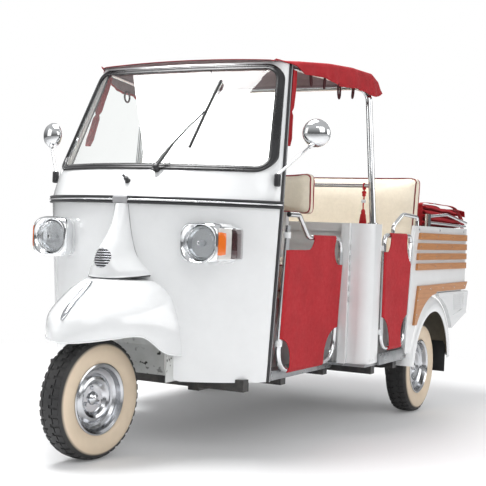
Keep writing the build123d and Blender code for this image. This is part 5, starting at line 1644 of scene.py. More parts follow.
        ground = Bench.sheet("grille_ground", 48, 8, disc)
        Bench.outward(ground, 0.0002)
        self.dress(ground, "black_moulding", "black_plastic", 60, replaces=["horn_grille"])
        bars = []
        for index in range(8):
            z = -radius + 2 * radius * (index + 0.5) / 8
            half = math.sqrt(max(radius**2 - z**2, 0.0)) - 0.0015
            line = [
                self._on_nose(half * (2 * k / 14 - 1), self.grille_height + z, 0.0024) for k in range(15)
            ]
            bars.append(Bench.bar("bar", line, 0.0024, sides=4))
        self.dress(Bench.join("grille_bars", bars), "brushed_rim", "chrome", 60)
        circle = ((radius * math.cos(a), radius * math.sin(a)) for a in turns(64, 1))
        rim = [self._on_nose(x, self.grille_height + z, 0.0016) for x, z in circle]
        self.dress(Bench.bar("grille_rim", rim, 0.0017, sides=4), "white_enamel", "body_paint", 60)


# ---------------------------------------------------------------- cab
@dataclass
class Cab(SubAssembly):
    """Panels of the cab: front shell, windscreen frame, mouldings, dash shelf and floor."""

    wall: float = 0.006
    screen: tuple[Pair, Pair] = ((0.5385, 1.147), (0.4645, 1.6150))
    screen_corners: Pair = (0.062, 0.080)
    opening_half: float = 0.184
    opening_top: float = 0.560
    opening_corner: float = 0.055
    roll: float = 0.022
    seal: Profile = (
        # how far inside the aperture, and how far in front of the surface
        (-0.002, -0.004),
        (-0.001, 0.0035),
        (0.003, 0.0062),
        (0.008, 0.0066),
        (0.0105, 0.0040),
        (0.0125, 0.0040),
        (0.015, 0.0064),
        (0.020, 0.0056),
        (0.0235, 0.0010),
        (0.024, -0.0060),
    )

    def make(self) -> None:
        """Makes every panel."""
        self._front_shell()
        self._screen_frame()
        self._mouldings()
        self._dash_shelf()
        self._floor()

    def _front_shell(self) -> None:
        """Front panel with the wheel's opening, and the straps of the front doors' hinges."""
        bottom, belt = CAB_PLANS[0][0], CAB_PLANS[1][0]

        def upper(u: float, v: float) -> Point:
            """The panel above the opening."""
            return CabPlan.at(self.opening_top + (belt - self.opening_top) * v).spot(2 * u - 1)

        parts = [Bench.sheet("panel", 160, 30, upper)]
        for side in (LEFT, RIGHT):

            def lower(u: float, v: float, side: int = side) -> Point:
                """The panel beside the opening, its inner edge rolled back."""
                height = bottom + (self.opening_top - bottom) * v
                plan = CabPlan.at(height)
                low = max(bottom + self.opening_corner - height, 0.0) / self.opening_corner
                inner = self.opening_half + self.roll + self.opening_corner * (1 - math.sqrt(1 - low**2))
                start = plan.place(inner)
                if u >= 0.2:
                    spot = plan.spot(start + (1 - start) * (u - 0.2) / 0.8)
                    return (side * spot[0], spot[1], height)
                turn = (1 - u / 0.2) * math.pi / 2
                spot = plan.spot(start)
                x, y = spot[0] - self.roll * math.sin(turn), spot[1] + self.roll * (1 - math.cos(turn)) * 1.6
                return (side * x, y, height)

            parts.append(Bench.sheet("panel", 80, 40, lower))
        shell = Bench.join("cab_panel", parts)
        Bench.outward(shell, 0.0004)
        Bench.thicken(shell, self.wall)
        self.dress(shell, "white_enamel", "body_paint", 50, replaces=["cab_front"])
        straps, half = [], 0.012
        for side in (LEFT, RIGHT):
            for height in (0.900, 0.460):
                plan = CabPlan.at(height)
                tube = 0.548 + (height - 0.345) * 0.030 / 0.640
                inner = plan.half_width - 0.015
                low = (side * (inner - 0.008), aft(plan.edge - 0.020), height - half)
                high = (side * (inner - 0.001), aft(0.4845), height + half)
                straps.append(Bench.slab("strap", low, high, 0.001))
                x, y = side * tube, aft(0.497)
                section = ((0.0122, -half), (0.0152, -half), (0.0152, half), (0.0122, half), (0.0122, -half))
                eye = [
                    [(x + r * math.cos(a), y + r * math.sin(a), height + z) for a in turns(28)]
                    for r, z in section
                ]
                straps.append(Bench.rings("eye", eye, close=(False, False)))
        self.dress(Bench.join("front_hinge_straps", straps), "white_enamel", "body_paint", 50)

    def _screen_outline(self, inset: float) -> list[Pair]:
        """Windscreen aperture seen from the front: a trapezoid with arcs at its corners.

        Args:
            inset: how far inside the aperture, or outside where it is below zero.

        Returns:
            Distances from the middle and heights, in order, always as many.
        """
        (foot_half, foot), (head_half, head) = self.screen
        slope = (head_half - foot_half) / (head - foot)
        side_shift = inset * math.sqrt(1 + slope**2)
        low, high = foot + inset, head - inset
        low_half = foot_half + slope * (low - foot) - side_shift
        high_half = foot_half + slope * (high - foot) - side_shift
        ends = ((low_half, low), (high_half, high), (-high_half, high), (-low_half, low))
        corners = [Vector(spot) for spot in ends]
        bends = []
        for index, corner in enumerate(corners):
            radius = self.screen_corners[0 if index in (0, 3) else 1] - inset
            back = (corners[index - 1] - corner).normalized()
            on = (corners[(index + 1) % 4] - corner).normalized()
            half_turn = back.angle(on) / 2
            centre = corner + (back + on).normalized() * (radius / math.sin(half_turn))
            start = corner + back * (radius / math.tan(half_turn)) - centre
            end = corner + on * (radius / math.tan(half_turn)) - centre
            sweep = start.angle(end)
            arc = []
            for share in (k / 12 for k in range(13)):
                out = start * math.sin((1 - share) * sweep) + end * math.sin(share * sweep)
                arc.append(centre + out / math.sin(sweep))
            bends.append(arc)
        made = []
        for index, arc in enumerate(bends):
            made += arc
            following = bends[(index + 1) % 4][0]
            made += [arc[-1].lerp(following, k / 30) for k in range(1, 30)]
        return [(spot.x, spot.y) for spot in made]

    def _screen_frame(self) -> None:
        """Frame round the windscreen from belt to header, the rubber seal and the glass."""
        low, high = CAB_PLANS[2][0], CAB_PLANS[4][0]
        middle = (low + high) / 2
        aperture = [(CabPlan.at(z).place(x), z) for x, z in self._screen_outline(0.006)]
        border = []
        for u, z in aperture:
            reach = max(abs(u), abs(z - middle) / (high - middle))
            border.append((u / reach, middle + (z - middle) / reach))
        for u, z in ((-1, low), (1, low), (1, high), (-1, high)):
            gaps = [abs(spot[0] - u) + 3 * abs(spot[1] - z) for spot in border]
            border[gaps.index(min(gaps))] = (u, z)
        loops = []
        for share in (step / 12 for step in range(13)):
            ends = zip(aperture, border)
            row = ((u0 + (u1 - u0) * share, z0 + (z1 - z0) * share) for (u0, z0), (u1, z1) in ends)
            loops.append([CabPlan.at(z).spot(u) for u, z in row])
        panel = Bench.rings("screen_frame", loops, close=(False, False))
        Bench.thicken(panel, 0.018)
        self.dress(panel, "white_enamel", "body_paint", 50, replaces=["windscreen_frame"])
        loops = [self._on_screen(inset, gap) for inset, gap in self.seal]
        seal = Bench.rings("screen_seal", loops, close=(False, False))
        self.dress(seal, "seal_rubber", "black_rubber", 50, replaces=["windscreen_seal"])
        inset, sunk, centre = 0.019, -0.002, 1.38
        loops = [self._on_screen(inset, sunk)]
        for share in (1 - step / 15 for step in range(1, 15)):
            flat = [(x * share, (z - centre) * share + centre) for x, z in self._screen_outline(inset)]
            loops.append([cab_spot(x, z, sunk) for x, z in flat])
        glass = Bench.rings("screen_glass", loops, close=(False, True))
        Bench.thicken(glass, 0.005)
        self.dress(glass, "window_glass", "clear_glass", 60, replaces=["windscreen_glass"])

    def _on_screen(self, inset: float, gap: float) -> list[Point]:
        """The windscreen's outline on the cab's surface, inset and raised."""
        return [cab_spot(x, z, gap) for x, z in self._screen_outline(inset)]

    def _mouldings(self) -> None:
        """Rubber belt round the cab and the trims along the door edges."""
        low, high = CAB_PLANS[1][0], CAB_PLANS[2][0]

        def place(u: float, v: float) -> Point:
            """Half-round face of the belt."""
            proud = 0.0095 * math.sqrt(max(1 - abs(2 * v - 1) ** 3, 0.0)) - 0.002
            return CabPlan.at(low + (high - low) * v).spot(2 * u - 1, proud)

        belt = Bench.sheet("belt_band", 180, 10, place)
        Bench.outward(belt)
        parts, beads = [belt], []
        for side in (LEFT, RIGHT):
            loops, line = [], []
            for height, half, _, edge, _ in CAB_PLANS:
                x, station = half - 0.0035, edge + 0.0090
                corners = (squared(turn, 5) for turn in turns(20))
                loops.append(
                    [(side * (x + 0.0110 * c), aft(station + 0.0125 * s), height) for c, s in corners]
                )
                line.append((side * (half + 0.0078), aft(edge + 0.0085), height))
            parts.append(Bench.rings("edge_trim", loops))
            beads.append(Bench.bar("edge_bead", line, 0.0022, smooth=False, sides=4))
        self.dress(
            Bench.join("cab_mouldings", parts), "black_moulding", "black_rubber", 45,
            replaces=["body_mouldings"],
        )
        self.dress(Bench.join("edge_beads", beads), "grey_joiner", "black_plastic", 60)

    def _outline(self, height: float, inset: float, count: int) -> list[Point]:
        """The cab's plan inside its wall, from the right door edge to the left one."""
        plan = CabPlan.at(height)
        return [plan.spot(2 * k / count - 1, -inset) for k in range(count + 1)]

    def _dash_shelf(self) -> None:
        """Shelf behind the front panel."""
        rear, inset = 0.262, 0.012
        loops = []
        for height in (0.932, 0.946):
            front = [spot for spot in self._outline(height, inset, 120) if spot[1] < aft(rear)]
            edge = front[-1][0]
            loops.append([*front, (edge, aft(rear), height), (-edge, aft(rear), height)])
        self.dress(
            Bench.rings("dash_shelf", loops), "black_moulding", "black_plastic", 40,
            replaces=["dash_panel"],
        )

    def _floor(self) -> None:
        """Floor plate round the wheel well, and its side sills."""
        top, thickness, well, well_rear = 0.330, 0.012, 0.237, 0.337
        loops = []
        for height in (top - thickness, top):
            arc = self._outline(height, 0.012, 120)
            right = [spot for spot in arc if spot[0] < -well]
            left = [spot for spot in arc if spot[0] > well]
            side, wide = left[-1][0], 0.692
            rear = [(side, aft(1.100), height), (wide, aft(1.100), height), (wide, aft(1.700), height)]
            turn_in = (
                (-well, right[-1][1]), (-well, aft(well_rear)), (well, aft(well_rear)), (well, left[0][1])
            )
            notch = [(x, y, height) for x, y in turn_in]
            loops.append([*right, *notch, *left, *rear, *((-x, y, z) for x, y, z in reversed(rear))])
        parts = [Bench.rings("floor", loops)]
        sills = (
            ((0.508, 0.473, 0.306), (0.530, 1.100, 0.346)), ((0.692, 1.240, 0.318), (0.708, 1.566, 0.372))
        )
        for side in (LEFT, RIGHT):
            for corners in sills:
                low, high = ((side * x, aft(station), z) for x, station, z in corners)
                parts.append(Bench.slab("sill", low, high, 0.002))
        self.dress(
            Bench.join("floor_plate", parts), "floor_sheet", "floor_sheet", 40, replaces=["floor_pan"]
        )


# ---------------------------------------------------------------- seats
@dataclass
class Cushion(SubAssembly):
    """Padded seat part: a profile swept across, filled by a cloth simulation."""

    name: str = "driver_cushion"
    half: float = 0.470
    profile: Profile = ()
    start: float = 0.010
    cap: float = 0.020
    voxel: float = 0.011
    fill: float = 0.8

    def _loop(self, across: float, shrink: float) -> list[Point]:
        """The profile's outline at a distance from the middle, drawn in by an amount."""
        count = len(self.profile)
        middle_s = sum(s for s, _ in self.profile) / count
        middle_h = sum(h for _, h in self.profile) / count
        points = []
        for s, h in self.profile:
            ds, dh = s - middle_s, h - middle_h
            span = math.hypot(ds, dh)
            keep = max(span - shrink, 0.001) / span
            points.append((across, aft(middle_s + ds * keep), middle_h + dh * keep))
        return points

    def make(self) -> bpy.types.Object:
        ends = ((0.0, 0.014), (0.012, 0.004), (0.030, 0.0))
        inner = self.half - self.start
        stops = [(-inner + d, s) for d, s in ends]
        stops += [(-inner + 0.030 + (2 * inner - 0.060) * k / 12, 0.0) for k in range(1, 12)]
        stops += [(inner - d, s) for d, s in reversed(ends)]
        loops = [self._loop(x, self.start + s) for x, s in stops]
        pad = Bench.rings(self.name, loops)
        Bench.modify(pad, "REMESH", mode="VOXEL", voxel_size=self.voxel)
        self._fill(pad)
        Bench.modify(pad, "SUBSURF", levels=1, render_levels=1)
        self.dress(pad, "cream_vinyl", "cream_vinyl", 60, replaces=[self.name])
        return pad

    def _fill(self, pad: bpy.types.Object) -> None:
        """Swells the pad as a cloth under pressure, and holds each point within the cap."""
        Bench.only(pad)
        before = [vertex.co.copy() for vertex in pad.data.vertices]
        cloth = pad.modifiers.new("fill", "CLOTH")
        settings = {"quality": 4, "mass": 0.3, "use_pressure": True, "uniform_pressure_force": 4.0}
        settings |= {"tension_stiffness": 12, "compression_stiffness": 12, "bending_stiffness": 0.4}
        for label, value in settings.items():
            setattr(cloth.settings, label, value)
        cloth.settings.effector_weights.gravity = 0.0
        cloth.collision_settings.use_self_collision = False
        scene = bpy.context.scene
        for frame_number in range(1, 21):
            scene.frame_set(frame_number)
        bpy.ops.object.modifier_apply(modifier="fill")
        scene.frame_set(1)
        for vertex, place in zip(pad.data.vertices, before):
            move = vertex.co - place
            if move.length > self.cap:
                vertex.co = place + move.normalized() * self.cap
        pad.data.update()

    @staticmethod
    def welt_line(pad: bpy.types.Object, path: Sequence[Point]) -> bpy.types.Object:
        """A welt laid on the pad along a path of rough points.

        Args:
            pad: the finished pad.
            path: points near the pad's surface, in order.

        Returns:
            The welt as a mesh bar.
        """
        points = []
        for spot in path:
            found, place, normal, _ = pad.closest_point_on_mesh(Vector(spot))
            points.append(place + normal * 0.0012 if found else Vector(spot))
        for _ in range(2):
            last = len(points) - 1
            inner = [(points[k - 1] + points[k] * 2 + points[k + 1]) / 4 for k in range(1, last)]
            points = [points[0], *inner, points[last]]
        return Bench.bar("welt", points, 0.0036, smooth=False, sides=3)


def corner_run(low: Pair, high: Pair, radius: float, steps: int) -> list[Pair]:
    """Points round the four corners of a rounded rectangle, each corner in equal steps."""
    near, far = ([value + radius for value in low], [value - radius for value in high])
    made = []
    centres = (far, (near[0], far[1]), near, (far[0], near[1]))
    for first, (cx, cy) in enumerate(centres):
        for step in range(steps + 1):
            angle = math.pi / 2 * (first + step / steps)
            made.append((cx + radius * math.cos(angle), cy + radius * math.sin(angle)))
    return made


def rectangle(low: Pair, high: Pair, radius: float) -> list[Pair]:
    """Closed run of points round a rounded rectangle; the first point comes again at the end."""
    made = corner_run(low, high, radius, 6)
    made.append(made[0])
    full = []
    for (ax, ay), (bx, by) in zip(made, made[1:]):
        steps = max(1, int(math.hypot(bx - ax, by - ay) / 0.03))
        full += [(ax + (bx - ax) * k / steps, ay + (by - ay) * k / steps) for k in range(steps)]
    return full + [made[0]]


@dataclass
class Seats(SubAssembly):
    """The driver's and the passengers' seats with their red welts."""

    rest: Profile = (
        # station and height round the bench's backrest
        (1.712, 0.664),
        (1.722, 0.80),
        (1.738, 0.97),
        (1.752, 1.12),
        (1.764, 1.216),
        (1.780, 1.232),
        (1.824, 1.232),
        (1.836, 1.218),
        (1.836, 1.10),
        (1.832, 0.97),
        (1.831, 0.80),
        (1.830, 0.664),
    )
    rest_lean: float = 0.052 / 0.568

    def make(self) -> None:
        """Makes every pad and its welts."""
        welts = []
        for name, half, profile, cap in (
            # name, half width, profile, how far a point may swell
            ("driver_cushion", 0.478, corner_run((0.543, 0.642), (0.893, 0.788), 0.035, 4), 0.020),
            ("driver_backrest", 0.528, corner_run((0.840, 0.977), (0.897, 1.189), 0.026, 4), 0.016),
            ("bench_cushion", 0.626, corner_run((1.416, 0.662), (1.705, 0.804), 0.040, 4), 0.020),
            ("bench_backrest", 0.688, self.rest, 0.014),
        ):
            pad = Cushion(self.paints, self.body, name=name, half=half, profile=profile, cap=cap).make()
            stations, heights = zip(*profile)
            s0, s1, z0, z1 = min(stations), max(stations), min(heights), max(heights)
            if name.endswith("cushion"):
                plan = rectangle((-half, s0), (half, s1), 0.045)
                paths = [[(x, aft(s), level) for x, s in plan] for level in (z1 - 0.004, z0 + 0.012)]
            elif name == "driver_backrest":
                face = rectangle((-half, z0), (half, z1), 0.055)
                paths = [[(x, aft(s), h) for x, h in face] for s in (s0, s1)]
            else:
                front, rear = (rectangle((-half, z), (half, z1), 0.035) for z in (z0, z0 + 0.02))
                leaning = [(x, aft(s0 + (h - z0) * self.rest_lean), h) for x, h in front]
                # the front welt is laid twice, one on the other
                paths = [leaning, leaning, [(x, aft(s1 + 0.002), h) for x, h in rear]]
            welts += [Cushion.welt_line(pad, path) for path in paths]
        self.dress(Bench.join("seat_welts", welts), "red_piping", "cream_vinyl", 60)




# ---------------------------------------------------------------- folded hood
@dataclass
class FoldedHood(SubAssembly):
    """Folded passenger hood: its layers, a loose hem and the straps."""

    half: float = 0.672
    layers: tuple[tuple[float, float, float, float, float], ...] = (
        # fore station, rear station, height at the fore end, at the rear end, thickness
        (1.900, 2.600, 0.992, 0.986, 0.030),
        (1.908, 2.560, 1.024, 1.002, 0.030),
        (1.905, 2.520, 1.052, 1.028, 0.026),
        (1.925, 2.455, 1.076, 1.060, 0.020),
    )

    def make(self) -> None:
        """Makes the folded layers, the loose hem and the straps."""
        for index, (fore, rear, z0, z1, thick) in enumerate(self.layers):
            loops = []
            for k in range(61):
                x = -self.half + 2 * self.half * k / 60
                ripple = 0.004 * math.sin(x * 17 + index * 2.1) + 0.003 * math.sin(x * 41 + index)
                droop = -0.004 * (1 - math.cos(2 * math.pi * (x / self.half + 1) * 1.5)) * 0.5
                span = (fore + ripple, rear + 1.5 * ripple, z0 + droop, z1 + droop + ripple * 0.4)
                loops.append(self._fold(x, *span, thick, index))
            piece = Bench.rings(f"hood_fold_{index + 1}", loops)
            self.dress(piece, "red_canvas", "red_canvas", 55, replaces=["folded_hood"] if index == 0 else [])
        self._flap()
        self._straps()

    def _fold(
        self, x: float, fore: float, rear: float, z0: float, z1: float, thick: float, index: int
    ) -> Loop:
        """One rounded layer's outline at a distance from the middle."""
        ends = 0.5 + 0.5 * min(1.0, (self.half - abs(x)) / 0.02)
        points = []
        for turn in turns(44):
            c, s = math.cos(turn), math.sin(turn)
            share = ((abs(c) ** 0.35) * math.copysign(1, c) + 1) / 2
            station = fore + (rear - fore) * share
            height = z0 + (z1 - z0) * share
            wave = 0.0030 * math.sin(station * 23 + x * 9 + index * 1.7)
            lift = math.copysign(abs(s) ** 0.55, s)
            points.append((x, aft(station), height + wave + lift * thick / 2 * ends))
        return points

    def _flap(self) -> None:
        """Loose hem that hangs over the bundle's rear and side."""

        def place(u: float, v: float) -> Point:
            """The flap's surface, from the top out and down."""
            x = -0.676 + 1.352 * u
            wave = 0.006 * math.sin(x * 13) + 0.004 * math.sin(x * 31 + 1)
            station = 2.44 + 0.150 * min(v / 0.6, 1.0) + 0.030 * max(v - 0.6, 0.0)
            height = 1.076 - 0.014 * v - 0.062 * max(v - 0.55, 0.0) ** 1.4 / 0.45**0.4 + wave * v
            return (x, aft(station + wave * 0.5 * v), height)

        piece = Bench.sheet("hood_flap", 90, 26, place)
        area = Bench.thicken(piece, 0.002, 0.0)
        self.dress(piece, "red_canvas", "red_canvas", 55)

    def _straps(self) -> None:
        """Straps round the bundle near its ends, with small buckles."""
        straps, buckles = [], []
        fore = ((1.892, 0.974), (1.888, 1.062), (1.915, 1.0915))
        rear = ((2.20, 1.092), (2.46, 1.0825), (2.62, 1.012), (2.628, 0.974))
        line = smooth_run((*fore, *rear), 60)
        wide, thick = 0.011, 0.0022
        section = ((-wide, 0), (wide, 0), (wide, thick), (-wide, thick))
        for x in (-0.56, -0.20, 0.20, 0.56, 0.655, -0.655):
            loops = []
            for k, (s, h) in enumerate(line):
                before, after = line[max(k - 1, 0)], line[min(k + 1, len(line) - 1)]
                run = Vector((0, after[0] - before[0], after[1] - before[1])).normalized()
                out = Vector((0, -run.z, run.y))
                middle = Vector((x, aft(s), h))
                loops.append([tuple(middle + Vector((dx, 0, 0)) + out * dz) for dx, dz in section])
            straps.append(Bench.rings("strap", loops))
            low, high = (x - 0.015, aft(2.06), 1.0925), (x + 0.015, aft(2.09), 1.0975)
            buckles.append(Bench.slab("buckle", low, high, 0.002))
        self.dress(Bench.join("hood_straps", straps), "roof_canvas", "red_canvas", 40)
        self.dress(Bench.join("hood_buckles", buckles), "bright_chrome", "chrome", 40)


def smooth_run(path: Profile, count: int) -> list[Pair]:
    """Points of a smooth line through a path's points."""
    made = []
    spans = len(path) - 1
    for step in range(count + 1):
        place = spans * step / count
        k = min(int(place), spans - 1)
        t = place - k
        near = zip(*(path[min(max(k + d, 0), spans)] for d in (-1, 0, 1, 2)))
        bends = ((c - a, 2 * a - 5 * b + 4 * c - d, 3 * b - a - 3 * c + d, b) for a, b, c, d in near)
        made.append(
            tuple(
                0.5 * (2 * b + first * t + second * t * t + third * t**3)
                for first, second, third, b in bends
            )
        )
    return made


# ---------------------------------------------------------------- small fittings
@dataclass
class Fittings(SubAssembly):
    """Screws, tassel, mirrors, rear fenders with their liners, and the handlebar's parts."""

    trim_screws: Profile = (
        # station and height of the screws in the arch trims
        (1.735, 0.655),
        (1.90, 0.652),
        (2.10, 0.652),
        (2.30, 0.652),
        (2.49, 0.654),
        (1.70, 0.60),
        (1.69, 0.53),
    )
    skirt: Profile = (
        # height from the tassel's top, and radius
        (-0.098, 0.0045),
        (-0.104, 0.0085),
        (-0.112, 0.0100),
        (-0.118, 0.0088),
        (-0.124, 0.0115),
        (-0.150, 0.0150),
        (-0.168, 0.0165),
        (-0.174, 0.0150),
    )
    bead: Profile = ((-0.054, 0.006), (-0.056, 0.0095), (-0.062, 0.0112), (-0.068, 0.0095), (-0.070, 0.006))
    bowl: Profile = (
        # distance behind the mirror's centre, and radius
        (0.0165, 0.0520),
        (0.0180, 0.0550),
        (0.0150, 0.0575),
        (0.0060, 0.0570),
        (-0.0060, 0.0500),
        (-0.0160, 0.0360),
        (-0.0210, 0.0200),
        (-0.0225, 0.0060),
    )
    disc: Profile = ((0.0150, 0.0520), (0.0172, 0.0518), (0.0176, 0.0300), (0.0177, 0.0040))
    neck: Profile = ((-0.010, 0.0075), (0.012, 0.0085), (0.016, 0.0060))
    liner: Profile = (
        # distance from the middle, and radius from the axle
        (0.523, 0.3635),
        (0.668, 0.3635),
        (0.695, 0.352),
        (0.7075, 0.322),
        (0.7075, 0.300),
        (0.7060, 0.300),
        (0.7060, 0.322),
        (0.694, 0.350),
        (0.668, 0.3615),
        (0.523, 0.3615),
    )
    cup: Profile = (
        # distance from the speedometer's centre, and radius
        (-0.03, 0.030),
        (-0.022, 0.040),
        (0.0, 0.043),
        (0.010, 0.045),
        (0.013, 0.044),
        (0.013, 0.040),
        (0.010, 0.039),
        (0.010, 0.004),
    )

    def make(self) -> None:
        """Makes every fitting."""
        self._screws()
        self._tassel()
        self._mirrors()
        self._rear_arches()
        self._liners()
        self._handlebar()

    @staticmethod
    def _dome(centre: Point, axis: Point, radius: float, height: float) -> bpy.types.Object:
        """Small domed head with a recessed crown."""
        steps = ((0.0, 1.0), (0.45, 0.94), (0.8, 0.70), (0.97, 0.36), (0.86, 0.20), (0.80, 0.04))
        rows = [(height * h, radius * r) for h, r in steps]
        return Bench.rings("head", turned(centre, axis, rows, 12))

    def _screws(self) -> None:
        """Screws of the body sides, slats, arch trims and sills."""
        dark, bright = [], []
        for side in (LEFT, RIGHT):
            out = (side, 0, 0)
            for station in (1.716, 2.045, 2.470):
                dark.append(self._dome((side * 0.7118, aft(station), 0.952), out, 0.0062, 0.0032))
            for height in (0.919, 0.868, 0.817, 0.766):
                fore = 1.632 + (height - 0.850) * 0.25 + 0.085
                for k in range(4):
                    station = fore + (2.490 - fore) * k / 3
                    dark.append(self._dome((side * 0.7238, aft(station), height), out, 0.0036, 0.0016))
            for station, height in self.trim_screws:
                bright.append(self._dome((side * 0.7238, aft(station), height), out, 0.0042, 0.0018))
            for station in (1.150, 1.190):
                bright.append(self._dome((side * 0.6968, aft(station), 0.345), out, 0.004, 0.002))
        self.dress(Bench.join("dark_screws", dark), "steel_screw", "black_plastic", 50)
        self.dress(Bench.join("bright_screws", bright), "bright_chrome", "chrome", 50)

    def _tassel(self) -> None:
        """Red tassel that hangs from the left end of the hoop's grab rail."""
        x, y = 0.610, aft(1.213)
        top = Vector((x, y, 1.131))
        hang = ((0, 0, 0.012), (0, 0, 0), (0.003, 0.002, -0.03), (-0.002, -0.001, -0.075), (0, 0, -0.105))
        cord = Bench.bar("tassel_cord", [top + Vector(step) for step in hang], 0.0032, sides=4)
        eye = [Vector((x, y + 0.0115 * math.cos(a), 1.140 + 0.0115 * math.sin(a))) for a in turns(12, 1)]
        parts = [cord, Bench.bar("tassel_loop", eye, 0.0030, sides=4)]
        for dz, r in ((-0.004, 0.0085), (-0.022, 0.0105), (-0.034, 0.009)):
            centre = top + Vector((0, 0, dz))
            loops = []
            for t in (math.pi * (k + 0.5) / 9 for k in range(9)):
                lobes = [(p, r * math.sin(t) * (1 + 0.2 * math.sin(3 * p))) for p in turns(18)]
                drop = 0.8 * r * math.cos(t)
                loops.append(
                    [tuple(centre + Vector((w * math.cos(p), w * math.sin(p), drop))) for p, w in lobes]
                )
            parts.append(Bench.rings("knot", loops))
        loops = []
        for dz, r in self.skirt:
            depth = 0.10 if dz < -0.12 else 0.03
            strands = [(turn, r * (1.0 + depth * math.sin(16 * turn))) for turn in turns(48)]
            loops.append(
                [(x + w * math.cos(turn), y + w * math.sin(turn), top.z + dz) for turn, w in strands]
            )
        parts.append(Bench.rings("skirt", loops))
        self.dress(Bench.join("tassel", parts), "tassel_thread", "red_canvas", 50)
        bead = Bench.rings("tassel_bead", turned(top, (0, 0, 1), self.bead, 24))
        self.dress(bead, "bulb_white", "cream_vinyl", 50)

    def _mirrors(self) -> None:
        """Round mirrors on straight arms from blocks on the screen pillars."""
        heads, glasses, blocks = [], [], []
        for side in (LEFT, RIGHT):
            centre = Vector((side * 0.668, aft(0.530), 1.316))
            back = Vector((side * -0.24, 0.97, 0)).normalized()
            heads.append(Bench.rings("head", turned(centre, back, self.bowl, 56), close=(False, True)))
            glasses.append(Bench.rings("glass", turned(centre, back, self.disc, 56)))
            foot = Vector((side * 0.554, aft(0.430), 1.140))
            neck = centre + Vector((side * -0.012, -0.012, -0.050))
            arm = [neck + Vector((side * 0.004, -0.002, 0.016)), neck, neck.lerp(foot, 0.5), foot]
            heads.append(Bench.bar("arm", arm, 0.0048, smooth=False, sides=5))
            heads.append(Bench.rings("neck", turned(neck, (foot - neck).normalized(), self.neck, 20)))
            low, high = (side * 0.544, aft(0.414), 1.092), (side * 0.564, aft(0.442), 1.144)
            blocks.append(Bench.slab("block", low, high, 0.006, 3))
        self.dress(Bench.join("mirror_heads", heads), "bright_chrome", "chrome", 60, replaces=["mirrors"])
        self.dress(Bench.join("mirror_glasses", glasses), "mirror_silver", "chrome", 40)
        self.dress(Bench.join("mirror_blocks", blocks), "black_moulding", "black_plastic", 40)

    @staticmethod
    def _arch(side: int, turn: float, profile: Profile) -> list[Point]:
        """One section round the rear wheel; the arch is drawn in a little behind the axle."""
        reach = math.cos(turn) if math.cos(turn) > 0 else 0.87 * math.cos(turn)
        return [(side * x, aft(WHEELBASE) - r * reach, AXLE_HEIGHT + r * math.sin(turn)) for x, r in profile]

    def _arches(
        self, name: str, profile: Profile, start: float, sweep: float, steps: int
    ) -> bpy.types.Object:
        """A profile carried round both rear wheels; start and sweep are in degrees."""
        made = []
        for side in (LEFT, RIGHT):
            stops = (math.radians(start + sweep * k / steps) for k in range(steps + 1))
            made.append(Bench.rings("arch", [self._arch(side, turn, profile) for turn in stops]))
        return Bench.join(name, made)

    def _rear_arches(self) -> None:
        """White rear fenders with a rounded shoulder and a rolled lip."""
        quarter = [math.pi / 2 * k / 6 for k in range(7)]
        radii = (0.046, 0.040)
        bends = ([(0.670 + r * math.sin(a), 0.326 + r * math.cos(a)) for a in quarter] for r in radii)
        outside, inside = bends
        lip = ((0.716, 0.296), (0.7145, 0.2925), (0.7115, 0.2925), (0.710, 0.296))
        profile = [(0.523, 0.372), *outside, *lip, *reversed(inside), (0.523, 0.366)]
        arches = self._arches("fender_arches", profile, 6, 168, 48)
        self.dress(arches, "white_enamel", "body_paint", 40, replaces=["rear_fenders"])

    def _liners(self) -> None:
        """Undercoat skin inside the rear fenders."""
        liners = self._arches("fender_liners", self.liner, 7, 165, 32)
        self.dress(liners, "fender_liner", "chassis_paint", 50)

    def _handlebar(self) -> None:
        """Grips, levers and speedometer on the steering head."""
        grips, levers = [], []
        for side in (LEFT, RIGHT):
            base = Vector((side * 0.150, aft(0.438), 0.985))
            tip = Vector((side * 0.262, aft(0.470), 0.992))
            run = (tip - base).normalized()
            loops = []
            for k in range(29):
                radius = 0.0185 if k in (0, 28) else 0.0175 + (0.0012 if k % 2 else 0.0)
                loops.append(ring(base + run * (tip - base).length * (k / 28), radius, 24, run))
            grips.append(Bench.rings("grip", loops))
            start = base - run * 0.02 + Vector((0, -0.020, -0.004))
            elbow = start + run * 0.04 + Vector((0, -0.022, 0))
            end = start + run * 0.13 + Vector((0, -0.012, 0.004))
            levers.append(Bench.bar("lever", [start, elbow, end], 0.0048, sides=4))
        grip = Bench.join("handlebar_grips", grips)
        lever = Bench.join("handlebar_levers", levers)
        axis = Vector((0, 0.35, 0.94)).normalized()
        cup = Bench.rings("speedometer_cup", turned((0, aft(0.395), 1.000), axis, self.cup, 40))
        self.dress(grip, "black_rubber", "black_rubber", 40, body=Body.STEERING)
        self.dress(lever, "bright_chrome", "chrome", 50, body=Body.STEERING)
        self.dress(cup, "black_moulding", "black_plastic", 40, body=Body.STEERING)


